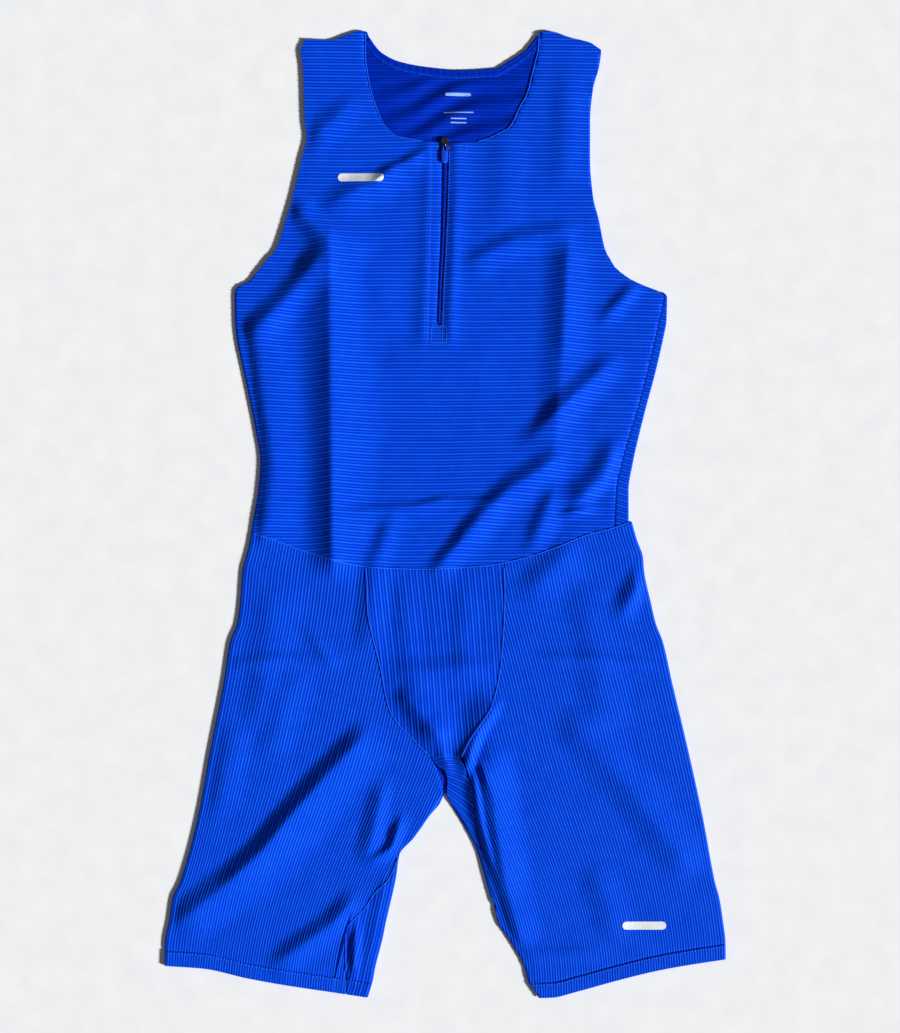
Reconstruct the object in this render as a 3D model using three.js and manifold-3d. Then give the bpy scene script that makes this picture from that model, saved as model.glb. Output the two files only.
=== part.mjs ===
// A sleeveless running speedsuit with shorts, laid flat on its back, in millimetres.
// x runs to the wearer's left, y towards the neck and z up. Tables give each place by
// its x and by "down", the distance from the top of the shoulder towards the hem.
import * as THREE from "three";
import { mergeVertices } from "three/addons/utils/BufferGeometryUtils.js";
import Module from "manifold-3d";

const manifold = await Module();
manifold.setup();

// Driving sizes
const SHOULDER_Y = 483.5; // the top of the shoulder above the origin
const CLOTH = 1.5; // wall of a front panel in the grooves between its ribs
const BACK = 1.2; // wall of the back panels, which lie flat
const GAP = 0.3; // between pieces at a seam
const RIB = { pitch: 6, rise: 0.55 }; // the torso's ribs, across
const LEG_RIB = { pitch: 6.3, hemPitch: 5.2, rise: 0.55, count: 42 }; // the shorts' ribs, down
const NARROWING = { from: 700, over: 240 }; // where those draw together towards the hem
const POUCH_RIB = { from: -90, count: 26, lean: 0.09, top: 520, bottom: 732 };
const GUSSET_RIB = { rows: 40, rise: 0.4 };
const HEM = { depth: 15, rise: 0.7 }; // turned up and stitched, so twice as thick
const ROLL = 1.6; // width in which a front panel turns down round the side
const BACK_INSET = 2; // how far the back stops short of that roll
const LEG_INSET = 2.8; // the same on the shorts
const FADE = 18; // folds die out this near an edge
const INNER_STEP = 4; // a wall's plain inside has every fourth line of its ribbed outside
const WRAP_STEP = 3; // half a rib on the strip that wraps the side
const ZIP = { tape: 12, tapeWall: 0.8, ridge: 1.2, plateau: 14, foot: 30, slit: 6.4, slitEnd: 4.4 };
const ZIP_END = { fade: 345, over: 35, slit: 294, chain: 292, tape: 306 };
const SLIDER = { wide: 8, long: 13, wall: 2, top: 107, bridge: 1.6, rail: 1, posts: [2.9, 9], high: 4.2 };
const PULL = { wide: 6.5, long: 12.5, thick: 1.8, arm: 1.1, axis: 3.1, pin: 0.5, clear: 0.5, across: 4.4 };
const ARMHOLE_END = { down: 240, over: 20 }; // below it the side rolls down to the back
const SKY = 40; // above every fold
const UNDER = -5; // below the floor
const FAR = 320; // beyond either side
const BEYOND_HEM = 1000;
const HALF_GAP = GAP / 2;

const table = (names, rows) =>
  rows.map((row) => Object.fromEntries(names.split(" ").map((name, i) => [name, row[i]])));

// Side edges of the torso: the wearer's right edge, the front's left seam, the left edge
const TORSO = table("down right seam left", [
  [-12, -139, 156, 156],
  [9, -140, 156, 156],
  [20, -144, 156, 156],
  [36, -142, 154, 154],
  [58, -141, 148, 148],
  [90, -140, 145, 145],
  [106, -138, 145, 145],
  [128, -143, 145, 145],
  [166, -152, 148, 148],
  [190, -159, 154, 154],
  [203, -163, 156.5, 156.5],
  [220, -169.5, 160.5, 160.5],
  [228, -177, 165, 165],
  [236, -183, 169.7, 169.7],
  [243, -189, 177.6, 177.6],
  [250, -195.5, 188.3, 188.3],
  [256, -207, 202, 203],
  [260, -210, 212, 216],
  [266, -210.4, 218.5, 222],
  [289, -210, 214, 221.5],
  [306, -208.5, 210.5, 218.5],
  [345, -200.5, 201, 209.5],
  [369, -195.5, 195, 203],
  [399, -189.5, 186, 195.3],
  [431, -184.8, 177, 188],
  [460, -187, 171, 183.5],
  [492, -192.5, 169.5, 183.5],
  [545, -199, 168, 184],
]);

// Outer edges of the legs
const LEG = table("down right left", [
  [480, -192, 184],
  [509, -195, 192],
  [526, -199, 198],
  [539, -202.5, 199],
  [572, -205, 206],
  [593, -208, 211],
  [611, -215, 218],
  [649, -221, 226.6],
  [720, -235, 243.4],
  [787, -247.4, 258],
  [851, -265, 270],
  [867, -272.5, 274.4],
  [890, -276, 278],
  [911, -280, 280.5],
  [970, -281.5, 281.2],
]);

// Inner edges of the legs, from the crotch down
const INNER = table("down right left", [
  [763, -1.2, -0.8],
  [787, -17, 15.5],
  [808, -32, 27],
  [822, -45, 33.5],
  [847, -49, 40],
  [874, -55, 47.5],
  [891, -59, 52.5],
  [906, -62, 62.5],
  [938, -70, 80],
  [949, -72, 82.5],
  [966, -77, 93],
]);

// Lines across the body, from the wearer's right to left
const WAIST = table("x down", [
  [-215, 496],
  [-194, 502],
  [-173, 508],
  [-144, 519],
  [-117, 527],
  [-89, 534],
  [-60, 537],
  [-24, 538],
  [37, 535],
  [58, 532],
  [86, 525],
  [112, 516],
  [142, 504],
  [168, 497],
  [185, 491],
  [205, 486],
]);
const HEM_RIGHT = table("x down", [
  [-300, 932],
  [-277, 934.5],
  [-242, 937],
  [-196, 947],
  [-163, 953],
  [-114, 960.5],
  [-77, 966],
  [20, 980],
]);
const HEM_LEFT = table("x down", [
  [-20, 990],
  [93, 966.5],
  [107, 966],
  [130, 960.5],
  [172, 949],
  [213, 939],
  [246, 933],
  [300, 925],
]);
const SHOULDER = table("x down", [
  [-150, 10],
  [-140, 9],
  [-114, 10],
  [-101, 5.5],
  [-83, 0.4],
  [-70, 2],
  [90, 2],
  [102, 0.4],
  [128, 8],
  [145, 12],
  [151, 16],
  [160, 22],
]);
const FRONT_NECK = table("x down", [
  [-79, -20],
  [-79.5, 26],
  [-77, 45],
  [-74, 60],
  [-68, 79],
  [-62, 93],
  [-55, 101],
  [-48, 106],
  [-31, 109],
  [-16, 111],
  [6, 111.5],
  [26, 112],
  [40, 109],
  [51.5, 104],
  [64, 97],
  [74.5, 77],
  [82, 63],
  [86, 48],
  [90, 32],
  [93, 19],
  [95, -20],
]);
const BACK_NECK = table("x down", [
  [-78, 2],
  [-76, 7],
  [-63, 23],
  [-44, 32],
  [-12, 38],
  [13, 40],
  [51, 38],
  [64, 31],
  [81, 19.5],
  [87, 12.5],
  [94, 3],
]);
const NECK_BAND = { width: 8.5, wall: 1 };

// The middle of the zip, which leans a little to the wearer's right
const ZIP_LINE = table("down x", [
  [100, 0],
  [140, -0.3],
  [199, -2],
  [269, -5.5],
  [320, -7],
]);

// Seams of the shorts front
const POUCH_RIGHT = table("x down", [
  [-79, 520],
  [-79, 533],
  [-78, 550],
  [-77, 580],
  [-72, 606],
  [-65, 634],
  [-56, 677],
  [-46, 694],
  [-35.5, 704.5],
  [-15, 726],
]);
const POUCH_LEFT = table("x down", [
  [59, 520],
  [59, 534],
  [60, 560],
  [58, 611],
  [54, 647],
  [46.6, 675],
  [33, 696.5],
  [24, 710],
  [16, 726],
]);
const CROTCH_RIGHT = table("x down", [
  [-15, 726],
  [-8, 738],
  [-3.5, 752],
  [-1.5, 764],
]);
const GUSSET = table("x down endX endDown", [
  [-14, 726.6, 15.5, 726.8],
  [-7, 735, 22, 738],
  [0, 740, 26, 749],
  [2.2, 750, 29, 765],
  [1.4, 762, 31, 786],
  [7, 775, 34, 806],
  [16, 790, 37, 824],
  [24, 802, 41, 838],
  [33, 823, 45, 852],
  [38, 840, 48, 863],
  [45, 864, 50.4, 874],
]);
const THIGH_RIGHT = table("x down", [
  [-45, 822],
  [-56, 847],
  [-71, 863],
  [-80, 877],
  [-92, 889],
  [-99, 899],
  [-99, 964],
]);

// Lengthwise folds that the ribs' columns follow, and the spots between them
const CREST_RIGHT = -113;
const CREST_LEFT = 121;
const RIGHT_OF_ZIP = [-95, -71, -44];
const LEFT_OF_ZIP = [42, 70, 97];

// Where the points of a leg's ribs lie, from the waist seam to the hem's fold
const LEG_STATIONS = [0, 0.09, 0.18, 0.28, 0.38, 0.48, 0.58, 0.67, 0.75, 0.82, 0.88, 0.94, 1];

// Ridges in the laid cloth: from one end of the crest to the other, its height, and the
// width of its flank on the wearer's right and on the left of that direction
const RIDGES = table("x down endX endDown rise flankRight flankLeft", [
  [-113, 205, -113, 560, 6, 30, 46],
  [121, 209, 119, 324, 4.5, 26, 34],
  [119, 324, 110, 430, 4, 26, 36],
  [-153, 172, -107, 216, 3.5, 28, 30],
  [-127, 225, -187, 302, 4.5, 30, 32],
  [-100, 167, -4, 121, 3, 30, 34],
  [39, 229, 119, 204, 2.5, 30, 32],
  [180, 338, 92, 411, 4.2, 36, 40],
  [82, 439, 20, 507, 4.2, 34, 40],
  [177, 447, 135, 475, 3, 30, 34],
  [-93, 476, 33, 484, 1.8, 20, 26],
  [-82, 707, -191, 817, 6, 26, 42],
  [-191, 817, -249, 876, 4, 26, 36],
  [-63, 869, -147, 921, 3.5, 24, 28],
  [121, 681, 242, 827, 3.5, 24, 30],
  [53, 700, 61, 821, 5, 24, 40],
  [61, 821, 67, 890, 3, 22, 34],
  [205, 539, 187, 587, 3, 22, 26],
  [-205, 629, -110, 629, 1.6, 20, 24],
  [98, 629, 200, 629, 1.6, 20, 24],
  [-45, 641, 37, 641, 2.2, 20, 24],
  [-15, 735, 22, 741, 4.5, 30, 36],
]);

// A smooth curve through a table's rows that never swings past them
function through(rows, from, to) {
  const at = rows.map((row) => row[from]);
  const value = rows.map((row) => row[to]);
  const slope = at.slice(1).map((x, i) => (value[i + 1] - value[i]) / (x - at[i]));
  const tangent = value.map((_, i) => {
    const before = slope[Math.max(i - 1, 0)];
    const after = slope[Math.min(i, slope.length - 1)];
    return before * after <= 0 ? 0 : (2 * before * after) / (before + after);
  });
  return (x) => {
    if (x <= at[0]) return value[0];
    if (x >= at.at(-1)) return value.at(-1);
    const i = at.findIndex((end) => end > x) - 1;
    const span = at[i + 1] - at[i];
    const t = (x - at[i]) / span;
    const rise = value[i + 1] - value[i];
    const bend = tangent[i] * span;
    const nextBend = tangent[i + 1] * span;
    const square = 3 * rise - 2 * bend - nextBend;
    const cube = bend + nextBend - 2 * rise;
    return value[i] + t * (bend + t * (square + t * cube));
  };
}

const torsoRight = through(TORSO, "down", "right");
const torsoSeam = through(TORSO, "down", "seam");
const torsoLeft = through(TORSO, "down", "left");
const legRight = through(LEG, "down", "right");
const legLeft = through(LEG, "down", "left");
const innerRight = through(INNER, "down", "right");
const innerLeft = through(INNER, "down", "left");
const thighSeam = through(THIGH_RIGHT, "down", "x");
const waist = through(WAIST, "x", "down");
const hemRight = through(HEM_RIGHT, "x", "down");
const hemLeft = through(HEM_LEFT, "x", "down");
const zipX = through(ZIP_LINE, "down", "x");

const mix = (a, b, t) => a + (b - a) * t;
const ease = (t) => {
  const s = Math.min(Math.max(t, 0), 1);
  return s * s * (3 - 2 * s);
};

// How far a place lies inside the body's side edges
function insideBy(x, down) {
  if (down < waist(x)) return Math.min(x - torsoRight(down), torsoSeam(down) - x);
  const outer = Math.min(x - legRight(down), legLeft(down) - x);
  if (down < INNER[0].down) return outer;
  return Math.min(outer, x < 0 ? innerRight(down) - x : x - innerLeft(down));
}

function ridgeAt(ridge, x, down) {
  const alongX = ridge.endX - ridge.x;
  const alongDown = ridge.endDown - ridge.down;
  const length = Math.hypot(alongX, alongDown);
  const along = ((x - ridge.x) * alongX + (down - ridge.down) * alongDown) / length;
  const left = ((x - ridge.x) * alongDown - (down - ridge.down) * alongX) / length;
  const flank = left * alongDown > 0 ? ridge.flankLeft : ridge.flankRight;
  const side = left / flank;
  if (Math.abs(side) >= 1) return 0;
  const ends = ease((along + FADE) / (2 * FADE)) * ease((length + FADE - along) / (2 * FADE));
  return ridge.rise * ends * 0.5 * (1 + Math.cos(Math.PI * side));
}

// Height of the laid front above the place where it lies flat on the back
function liftAt(x, down) {
  const folds = RIDGES.reduce((sum, ridge) => sum + ridgeAt(ridge, x, down), 0);
  const nearZip = ease((ZIP.foot - Math.abs(x - zipX(down))) / (ZIP.foot - ZIP.plateau));
  const zip = nearZip * ease((ZIP_END.fade - down) / ZIP_END.over);
  const zipRidge = zip * ZIP.ridge;
  return folds * (1 - zip) * ease(insideBy(x, down) / FADE) + zipRidge;
}

const frontZ = (x, down) => BACK + GAP + liftAt(x, down);
const point = (x, down, z) => [x, SHOULDER_Y - down, z];

// One closed solid from points and triangles, turned so that its faces point out
function solidFrom(points, triangles) {
  const volume = triangles.reduce((sum, [a, b, c]) => {
    const [p, q, r] = [points[a], points[b], points[c]].map((v) => new THREE.Vector3(...v));
    return sum + p.dot(q.cross(r));
  }, 0);
  const faces = volume > 0 ? triangles : triangles.map(([a, b, c]) => [a, c, b]);
  return new manifold.Manifold(
    new manifold.Mesh({
      numProp: 3,
      vertProperties: new Float32Array(points.flat()),
      triVerts: new Uint32Array(faces.flat()),
    }),
  );
}

// A cloth wall: outer and inner grids of points, the inner one with every "skip"th line
// of the outer one, closed by a strip along each border
function wall(outer, inner, skip) {
  const lines = outer.length;
  const width = outer[0].length;
  const points = [...outer.flat(), ...inner.flat()];
  const out = (i, j) => i * width + j;
  const into = (i, j) => lines * width + i * width + j;
  const triangles = [];
  const quad = (a, b, c, d) => triangles.push([a, b, c], [a, c, d]);
  for (let j = 0; j + 1 < width; j++) {
    for (let i = 0; i + 1 < lines; i++)
      quad(out(i, j), out(i + 1, j), out(i + 1, j + 1), out(i, j + 1));
    for (let i = 0; i + 1 < inner.length; i++)
      quad(into(i, j), into(i, j + 1), into(i + 1, j + 1), into(i + 1, j));
  }
  for (let j = 0; j + 1 < width; j++) {
    quad(out(0, j), out(0, j + 1), into(0, j + 1), into(0, j));
    const last = inner.length - 1;
    quad(out(lines - 1, j + 1), out(lines - 1, j), into(last, j), into(last, j + 1));
  }
  for (const j of [0, width - 1]) {
    const side = (a, b, c) => triangles.push(j ? [a, c, b] : [a, b, c]);
    for (let i = 0; i + 1 < inner.length; i++) {
      const half = i * skip + skip / 2;
      for (let k = i * skip; k < (i + 1) * skip; k++)
        side(out(k + 1, j), out(k, j), into(k < half ? i : i + 1, j));
      side(out(half, j), into(i, j), into(i + 1, j));
    }
  }
  return solidFrom(points, triangles);
}

// A ribbed wall: place(i, j) gives x and down on line i and station j, and each odd line
// is the crest of a rib
function ribbed(lines, stations, { step, rise, plain = 0 }, place, bottom = frontZ, extra = () => 0) {
  const outer = [];
  const inner = [];
  for (let i = 0; i <= lines; i++) {
    const spots = Array.from({ length: stations + 1 }, (_, j) => place(i, j));
    const crest = i % 2 && i > plain ? rise : 0;
    outer.push(spots.map(([x, down]) => point(x, down, bottom(x, down) + CLOTH + crest + extra(x, down))));
    if (i % step === 0) inner.push(spots.map(([x, down]) => point(x, down, bottom(x, down))));
  }
  return wall(outer, inner, step);
}

// An upright prism over an outline of x and down
function prism(outline, low, high) {
  const shape = new THREE.Shape(outline.map(([x, down]) => new THREE.Vector2(x, SHOULDER_Y - down)));
  const geometry = new THREE.ExtrudeGeometry(shape, { depth: high - low, bevelEnabled: false });
  return solidOf(geometry.translate(0, 0, low));
}

// A three.js geometry as a solid that can be cut and joined
function solidOf(geometry) {
  geometry.deleteAttribute("normal");
  geometry.deleteAttribute("uv");
  const merged = mergeVertices(geometry, 1e-4);
  const position = merged.attributes.position;
  const index = merged.index.array;
  const points = [];
  for (let i = 0; i < position.count; i++)
    points.push([position.getX(i), position.getY(i), position.getZ(i)]);
  const triangles = [];
  for (let i = 0; i < index.length; i += 3) triangles.push([...index.slice(i, i + 3)]);
  return solidFrom(points, triangles);
}

// A line moved sideways, to the right of its direction on the page
function moved(rows, distance) {
  return rows.map(({ x, down }, i) => {
    const before = rows[Math.max(i - 1, 0)];
    const after = rows[Math.min(i + 1, rows.length - 1)];
    const length = Math.hypot(after.x - before.x, after.down - before.down);
    const across = distance / length;
    return [x - (after.down - before.down) * across, down + (after.x - before.x) * across];
  });
}

const stationsBetween = (from, to, step) =>
  Array.from({ length: Math.round((to - from) / step) + 1 }, (_, i) => from + i * step);

const placesOf = (rows) => rows.map(({ x, down }) => [x, down]);
const belowWaist = () => {
  const corners = [[FAR, BEYOND_HEM], [-FAR, BEYOND_HEM]];
  return prism([...moved(WAIST, -HALF_GAP), ...corners], UNDER, SKY);
};

// The front torso: ribs across, cut at the shoulders, neck, slit and waist
function frontTorso() {
  const first = -6;
  const lines = Math.round((546 - first) / RIB.pitch) * 2;
  const columnsAt = (down) => {
    const right = torsoRight(down);
    const seam = torsoSeam(down) - HALF_GAP;
    const roll = right + ROLL;
    const zip = zipX(down);
    const onRight = [right, roll, mix(roll, CREST_RIGHT, 0.38), mix(roll, CREST_RIGHT, 0.72), CREST_RIGHT];
    const onLeft = [CREST_LEFT, mix(CREST_LEFT, seam, 0.5), seam];
    return [...onRight, ...RIGHT_OF_ZIP, zip - ZIP.plateau, zip + ZIP.plateau, ...LEFT_OF_ZIP, ...onLeft];
  };
  const place = (i, j) => {
    const down = first + (i * RIB.pitch) / 2;
    return [columnsAt(down)[j], down];
  };
  const turned = (x, down) => {
    const open = ease((down - ARMHOLE_END.down) / ARMHOLE_END.over);
    return frontZ(x, down) - open * (BACK + GAP) * (1 - ease((x - torsoRight(down)) / ROLL));
  };
  const stations = columnsAt(first).length - 1;
  const cloth = ribbed(lines, stations, { step: INNER_STEP, rise: RIB.rise }, place, turned);
  const neck = prism(placesOf(FRONT_NECK), UNDER, SKY);
  const shoulderCut = prism([...placesOf(SHOULDER), [FAR, -60], [-FAR, -60]], UNDER, SKY);
  const stops = [
    [SLIDER.top - 10, SLIDER.wide + 1],
    [SLIDER.top + SLIDER.long + 0.4, SLIDER.wide + 1],
    [SLIDER.top + SLIDER.long + 1.4, ZIP.slit],
    [200, mix(ZIP.slit, ZIP.slitEnd, 0.6)],
    [ZIP_END.slit, ZIP.slitEnd],
  ];
  const slit = prism([
    ...stops.map(([down, width]) => [zipX(down) - width / 2, down]),
    ...stops.map(([down, width]) => [zipX(down) + width / 2, down]).reverse(),
  ], UNDER, SKY);
  return cloth.subtract(neck).subtract(belowWaist()).subtract(shoulderCut).subtract(slit);
}

// The back's wrap round the wearer's left side: a folded strip up to the side seam
function sideWrap() {
  const start = 264;
  const end = 501;
  const rings = stationsBetween(start, end, WRAP_STEP);
  const slant = 0.35; // the ribs rise towards the edge
  const points = [];
  rings.forEach((station, i) => {
    const edge = torsoLeft(station);
    const seamDown = station + slant * (torsoSeam(station) - edge);
    const seam = torsoSeam(seamDown) + HALF_GAP;
    const rib = i % 2 ? RIB.rise : 0;
    const low = BACK + GAP;
    const high = low + CLOTH + rib;
    const section = [
      [edge - 6, 0],
      [edge - 1, 0],
      [edge, high / 2],
      [edge - 1.2, high],
      [seam, high],
      [seam, low],
      [edge - 1.9, low],
      [edge - 6, BACK],
    ];
    section.forEach(([x, z], k) => {
      const onTop = k > 2 && k < 6;
      points.push(point(x, onTop ? mix(station, seamDown, (edge - x) / (edge - seam)) : station, z));
    });
  });
  const around = 8;
  const triangles = [];
  for (let i = 0; i + 1 < rings.length; i++)
    for (let k = 0; k < around; k++) {
      const next = (k + 1) % around;
      const [a, b] = [i * around + k, i * around + next];
      triangles.push([a, a + around, b + around], [a, b + around, b]);
    }
  // The section is the outer C closed by its inner side, so each end is capped in pairs
  const cap = [[0, 1, 7], [1, 6, 7], [1, 2, 6], [2, 3, 6], [3, 5, 6], [3, 4, 5]];
  const last = (rings.length - 1) * around;
  cap.forEach(([a, b, c]) => triangles.push([a, b, c], [last + a, last + c, last + b]));
  return solidFrom(points, triangles);
}

function backTorso() {
  const armholeLeft = TORSO.filter((row) => row.down >= 9 && row.down < 264);
  const side = TORSO.filter((row) => row.down >= 264 && row.down < 500);
  const inset = (down) => BACK_INSET * ease((down - ARMHOLE_END.down + 10) / ARMHOLE_END.over);
  const strapRight = SHOULDER.filter((row) => row.x < -77);
  const strapLeft = SHOULDER.filter((row) => row.x > 95);
  const lowerEdge = WAIST.filter((row) => row.x < 160 && row.x > -190).reverse();
  const sideRight = TORSO.filter((row) => row.down >= 20 && row.down < 500).reverse();
  const outline = [
    ...strapRight.map(({ x, down }) => [Math.max(x, torsoRight(down)), down]),
    ...placesOf(BACK_NECK),
    ...strapLeft.map(({ x, down }) => [Math.min(x, torsoLeft(down)), down]),
    ...armholeLeft.slice(2).map((row) => [row.left - 6 * ease((row.down - 254) / 10), row.down]),
    ...side.map((row) => [row.left - 4, row.down]),
    [180, 500],
    ...lowerEdge.map(({ x, down }) => [x, down + 3]),
    ...sideRight.map((row) => [row.right + inset(row.down), row.down]),
  ];
  return prism(outline, 0, BACK).add(sideWrap()).subtract(belowWaist());
}

function neckBand() {
  const line = BACK_NECK.slice(1, -1);
  const lower = moved(line, NECK_BAND.width).reverse();
  const low = BACK + GAP;
  const scoop = prism(moved(FRONT_NECK, -GAP), 0, SKY);
  return prism([...moved(line, 0.8), ...lower], low, low + NECK_BAND.wall).intersect(scoop);
}

// A shorts front: ribs down from the waist seam to the hem, fanned with the outer edge
function legCloth(side) {
  const outer = side < 0 ? legRight : legLeft;
  const hem = side < 0 ? hemRight : hemLeft;
  const bands = LEG_STATIONS.length - 1;
  const fold = HEM.depth;
  const place = (i, j) => {
    const inRoll = Math.min(i, INNER_STEP) / INNER_STEP;
    const across = inRoll * ROLL + (Math.max(i - INNER_STEP, 0) * LEG_RIB.pitch) / 2;
    const spot = (down) => {
      const drawnIn = ease((down - NARROWING.from) / NARROWING.over);
      return outer(down) - side * across * mix(1, LEG_RIB.hemPitch / LEG_RIB.pitch, drawnIn);
    };
    // Where line i crosses the waist seam and the hem, found in a few passes
    let top = waist(0);
    let bottom = hem(0);
    for (let pass = 0; pass < 6; pass++) {
      top = waist(spot(top)) + HALF_GAP;
      bottom = hem(spot(bottom));
    }
    const body = mix(top, bottom - fold, LEG_STATIONS[Math.min(j, bands)]);
    const down = [body, bottom - fold + 1, bottom][Math.max(j - bands, 0)];
    return [spot(down), down];
  };
  const turned = (x, down) =>
    frontZ(x, down) - (BACK + GAP) * (1 - ease(Math.abs(x - outer(down)) / ROLL));
  const hemStep = (x, down) => (down > hem(x) - fold + 0.5 ? HEM.rise : 0);
  const pattern = { step: INNER_STEP, rise: LEG_RIB.rise, plain: INNER_STEP };
  return ribbed(2 * LEG_RIB.count, bands + 2, pattern, place, turned, hemStep);
}

function frontLegRight() {
  const edge = [...moved(POUCH_RIGHT, HALF_GAP), ...moved(CROTCH_RIGHT.slice(1), HALF_GAP)];
  const inner = INNER.filter((row) => row.down > 764 && row.down < 820).map((row) => [row.right, row.down]);
  const thigh = stationsBetween(822, 966, 3).map((down) => [thighSeam(down) - HALF_GAP, down]);
  const around = [[-99, BEYOND_HEM], [-FAR, BEYOND_HEM], [-FAR, 480], [-79, 480]];
  const keep = prism([...edge, ...inner, ...thigh, ...around], UNDER, SKY);
  return legCloth(-1).intersect(keep);
}

function frontLegLeft() {
  const seam = GUSSET.map(({ endX, endDown }) => ({ x: endX, down: endDown }));
  const edge = [...moved(POUCH_LEFT.slice(0, -1), -HALF_GAP), ...moved(seam, -HALF_GAP)];
  const inner = INNER.filter((row) => row.down > 880).map((row) => [row.left, row.down]);
  const around = [[93, BEYOND_HEM], [FAR, BEYOND_HEM], [FAR, 470], [59, 470]];
  const keep = prism([...edge, ...inner, ...around], UNDER, SKY);
  return legCloth(1).intersect(keep);
}

function frontPouch() {
  const bands = 8;
  const { from, count, lean, top: above, bottom } = POUCH_RIB;
  const place = (i, j) => {
    const down = mix(above, bottom, j / bands);
    return [from + (i * LEG_RIB.pitch) / 2 + lean * (down - 600), down];
  };
  const cloth = ribbed(2 * count, bands, { step: INNER_STEP, rise: LEG_RIB.rise }, place);
  const top = WAIST.filter((row) => row.x > -79 && row.x < 59);
  const outline = [
    [-79 + HALF_GAP, waist(-79) + HALF_GAP],
    ...top.map(({ x, down }) => [x, down + HALF_GAP]),
    [59 - HALF_GAP, waist(59) + HALF_GAP],
    ...moved(POUCH_LEFT.slice(2), HALF_GAP),
    ...moved(POUCH_RIGHT.slice(2), -HALF_GAP).reverse(),
  ];
  return cloth.intersect(prism(outline, UNDER, SKY));
}

function crotchGusset() {
  const steps = GUSSET.map((row, i) => ({ ...row, step: i / (GUSSET.length - 1) }));
  const names = ["x", "down", "endX", "endDown"];
  const [x, down, endX, endDown] = names.map((name) => through(steps, "step", name));
  const bands = 3;
  const place = (i, j) => {
    const t = i / GUSSET_RIB.rows;
    const u = j / bands;
    return [mix(x(t) + HALF_GAP, endX(t) - HALF_GAP, u), mix(down(t), endDown(t), u)];
  };
  return ribbed(GUSSET_RIB.rows, bands, { step: 2, rise: GUSSET_RIB.rise }, place);
}

// The other end of the gusset, which comes out again along the wearer's right leg, with its
// ribs running down beside the leg's inner edge
function innerThighRight() {
  const lines = 14;
  const bands = 9;
  const start = 820;
  const place = (i, j) => {
    const across = (i * LEG_RIB.pitch) / 2;
    const end = hemRight(innerRight(960) - across);
    const body = mix(start, end - HEM.depth, Math.min(j, bands) / bands);
    const down = [body, end - HEM.depth + 1, end + 4][Math.max(j - bands, 0)];
    return [innerRight(down) - across, down];
  };
  const hemStep = (x, down) => (down > hemRight(x) - HEM.depth + 0.5 ? HEM.rise : 0);
  const pattern = { step: 2, rise: LEG_RIB.rise };
  const cloth = ribbed(lines, bands + 2, pattern, place, frontZ, hemStep);
  const seam = stationsBetween(822, 960, 3).map((down) => [thighSeam(down) + HALF_GAP, down]);
  const hem = [-99 + HALF_GAP, -88, -77].map((x) => [x, hemRight(x)]);
  return cloth.intersect(prism([...seam, ...hem, [-20, 975], [-20, 822]], UNDER, SKY));
}

// A shorts back: plain, since it lies on the floor
function backLeg(side) {
  const outer = side < 0 ? legRight : legLeft;
  const name = side < 0 ? "right" : "left";
  const middle = side * HALF_GAP;
  const crotch = INNER[0].down - 2;
  const edge = stationsBetween(side < 0 ? 508 : 494, 926, 12)
    .map((down) => [outer(down) - side * LEG_INSET, down]);
  const hem = side < 0 ? HEM_RIGHT : HEM_LEFT;
  const hemRows = hem.filter(({ x }) => Math.abs(x) < 279 && Math.abs(x) > 76);
  const inner = INNER.slice(1).filter((row) => row.down < 960).map((row) => [row[name], row.down]);
  const topRows = WAIST.filter(({ x }) => x * side > 0 && Math.abs(x) < 192);
  const top = topRows.map(({ x, down }) => [x, down + HALF_GAP]);
  // Both tables run to the wearer's left, so one end of each leg takes its rows backwards
  const outward = (rows) => (side < 0 ? rows.reverse() : rows);
  const inward = (rows) => (side < 0 ? rows : rows.reverse());
  const centre = [[middle, crotch], [middle, waist(0) + HALF_GAP]];
  const outline = [...edge, ...inward(placesOf(hemRows)), ...inner.reverse(), ...centre, ...outward(top)];
  return prism(outline, 0, BACK);
}

// The zip: two tapes under the slit, the closed coil in it, its stitched end and slider
const TAPE_Z = BACK + GAP;
const CHAIN_Z = TAPE_Z + ZIP.tapeWall + GAP;
const CHAIN_STOPS = [SLIDER.top + SLIDER.long + GAP, 160, 200, 240, ZIP_END.chain];
const CHAIN_WALL = 1.1;

function zipTape(side) {
  const stops = [SLIDER.top, 140, 200, 250, ZIP_END.tape];
  const near = stops.map((down) => [zipX(down) + side * HALF_GAP, down]);
  const far = stops.map((down) => [zipX(down) + side * ZIP.tape, down]).reverse();
  return prism([...near, ...far], TAPE_Z, TAPE_Z + ZIP.tapeWall);
}

function zipChain() {
  const half = (down) => mix(ZIP.slit, ZIP.slitEnd, ease((down - 120) / 130)) / 2 - 2 * GAP;
  const sides = [-1, 1].map((side) => CHAIN_STOPS.map((down) => [zipX(down) + side * half(down), down]));
  return prism([...sides[0], ...sides[1].reverse()], CHAIN_Z, CHAIN_Z + CHAIN_WALL);
}

const box = (wide, long, high, x, down, z) =>
  solidOf(new THREE.BoxGeometry(wide, long, high).translate(x, SHOULDER_Y - down, z));

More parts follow.
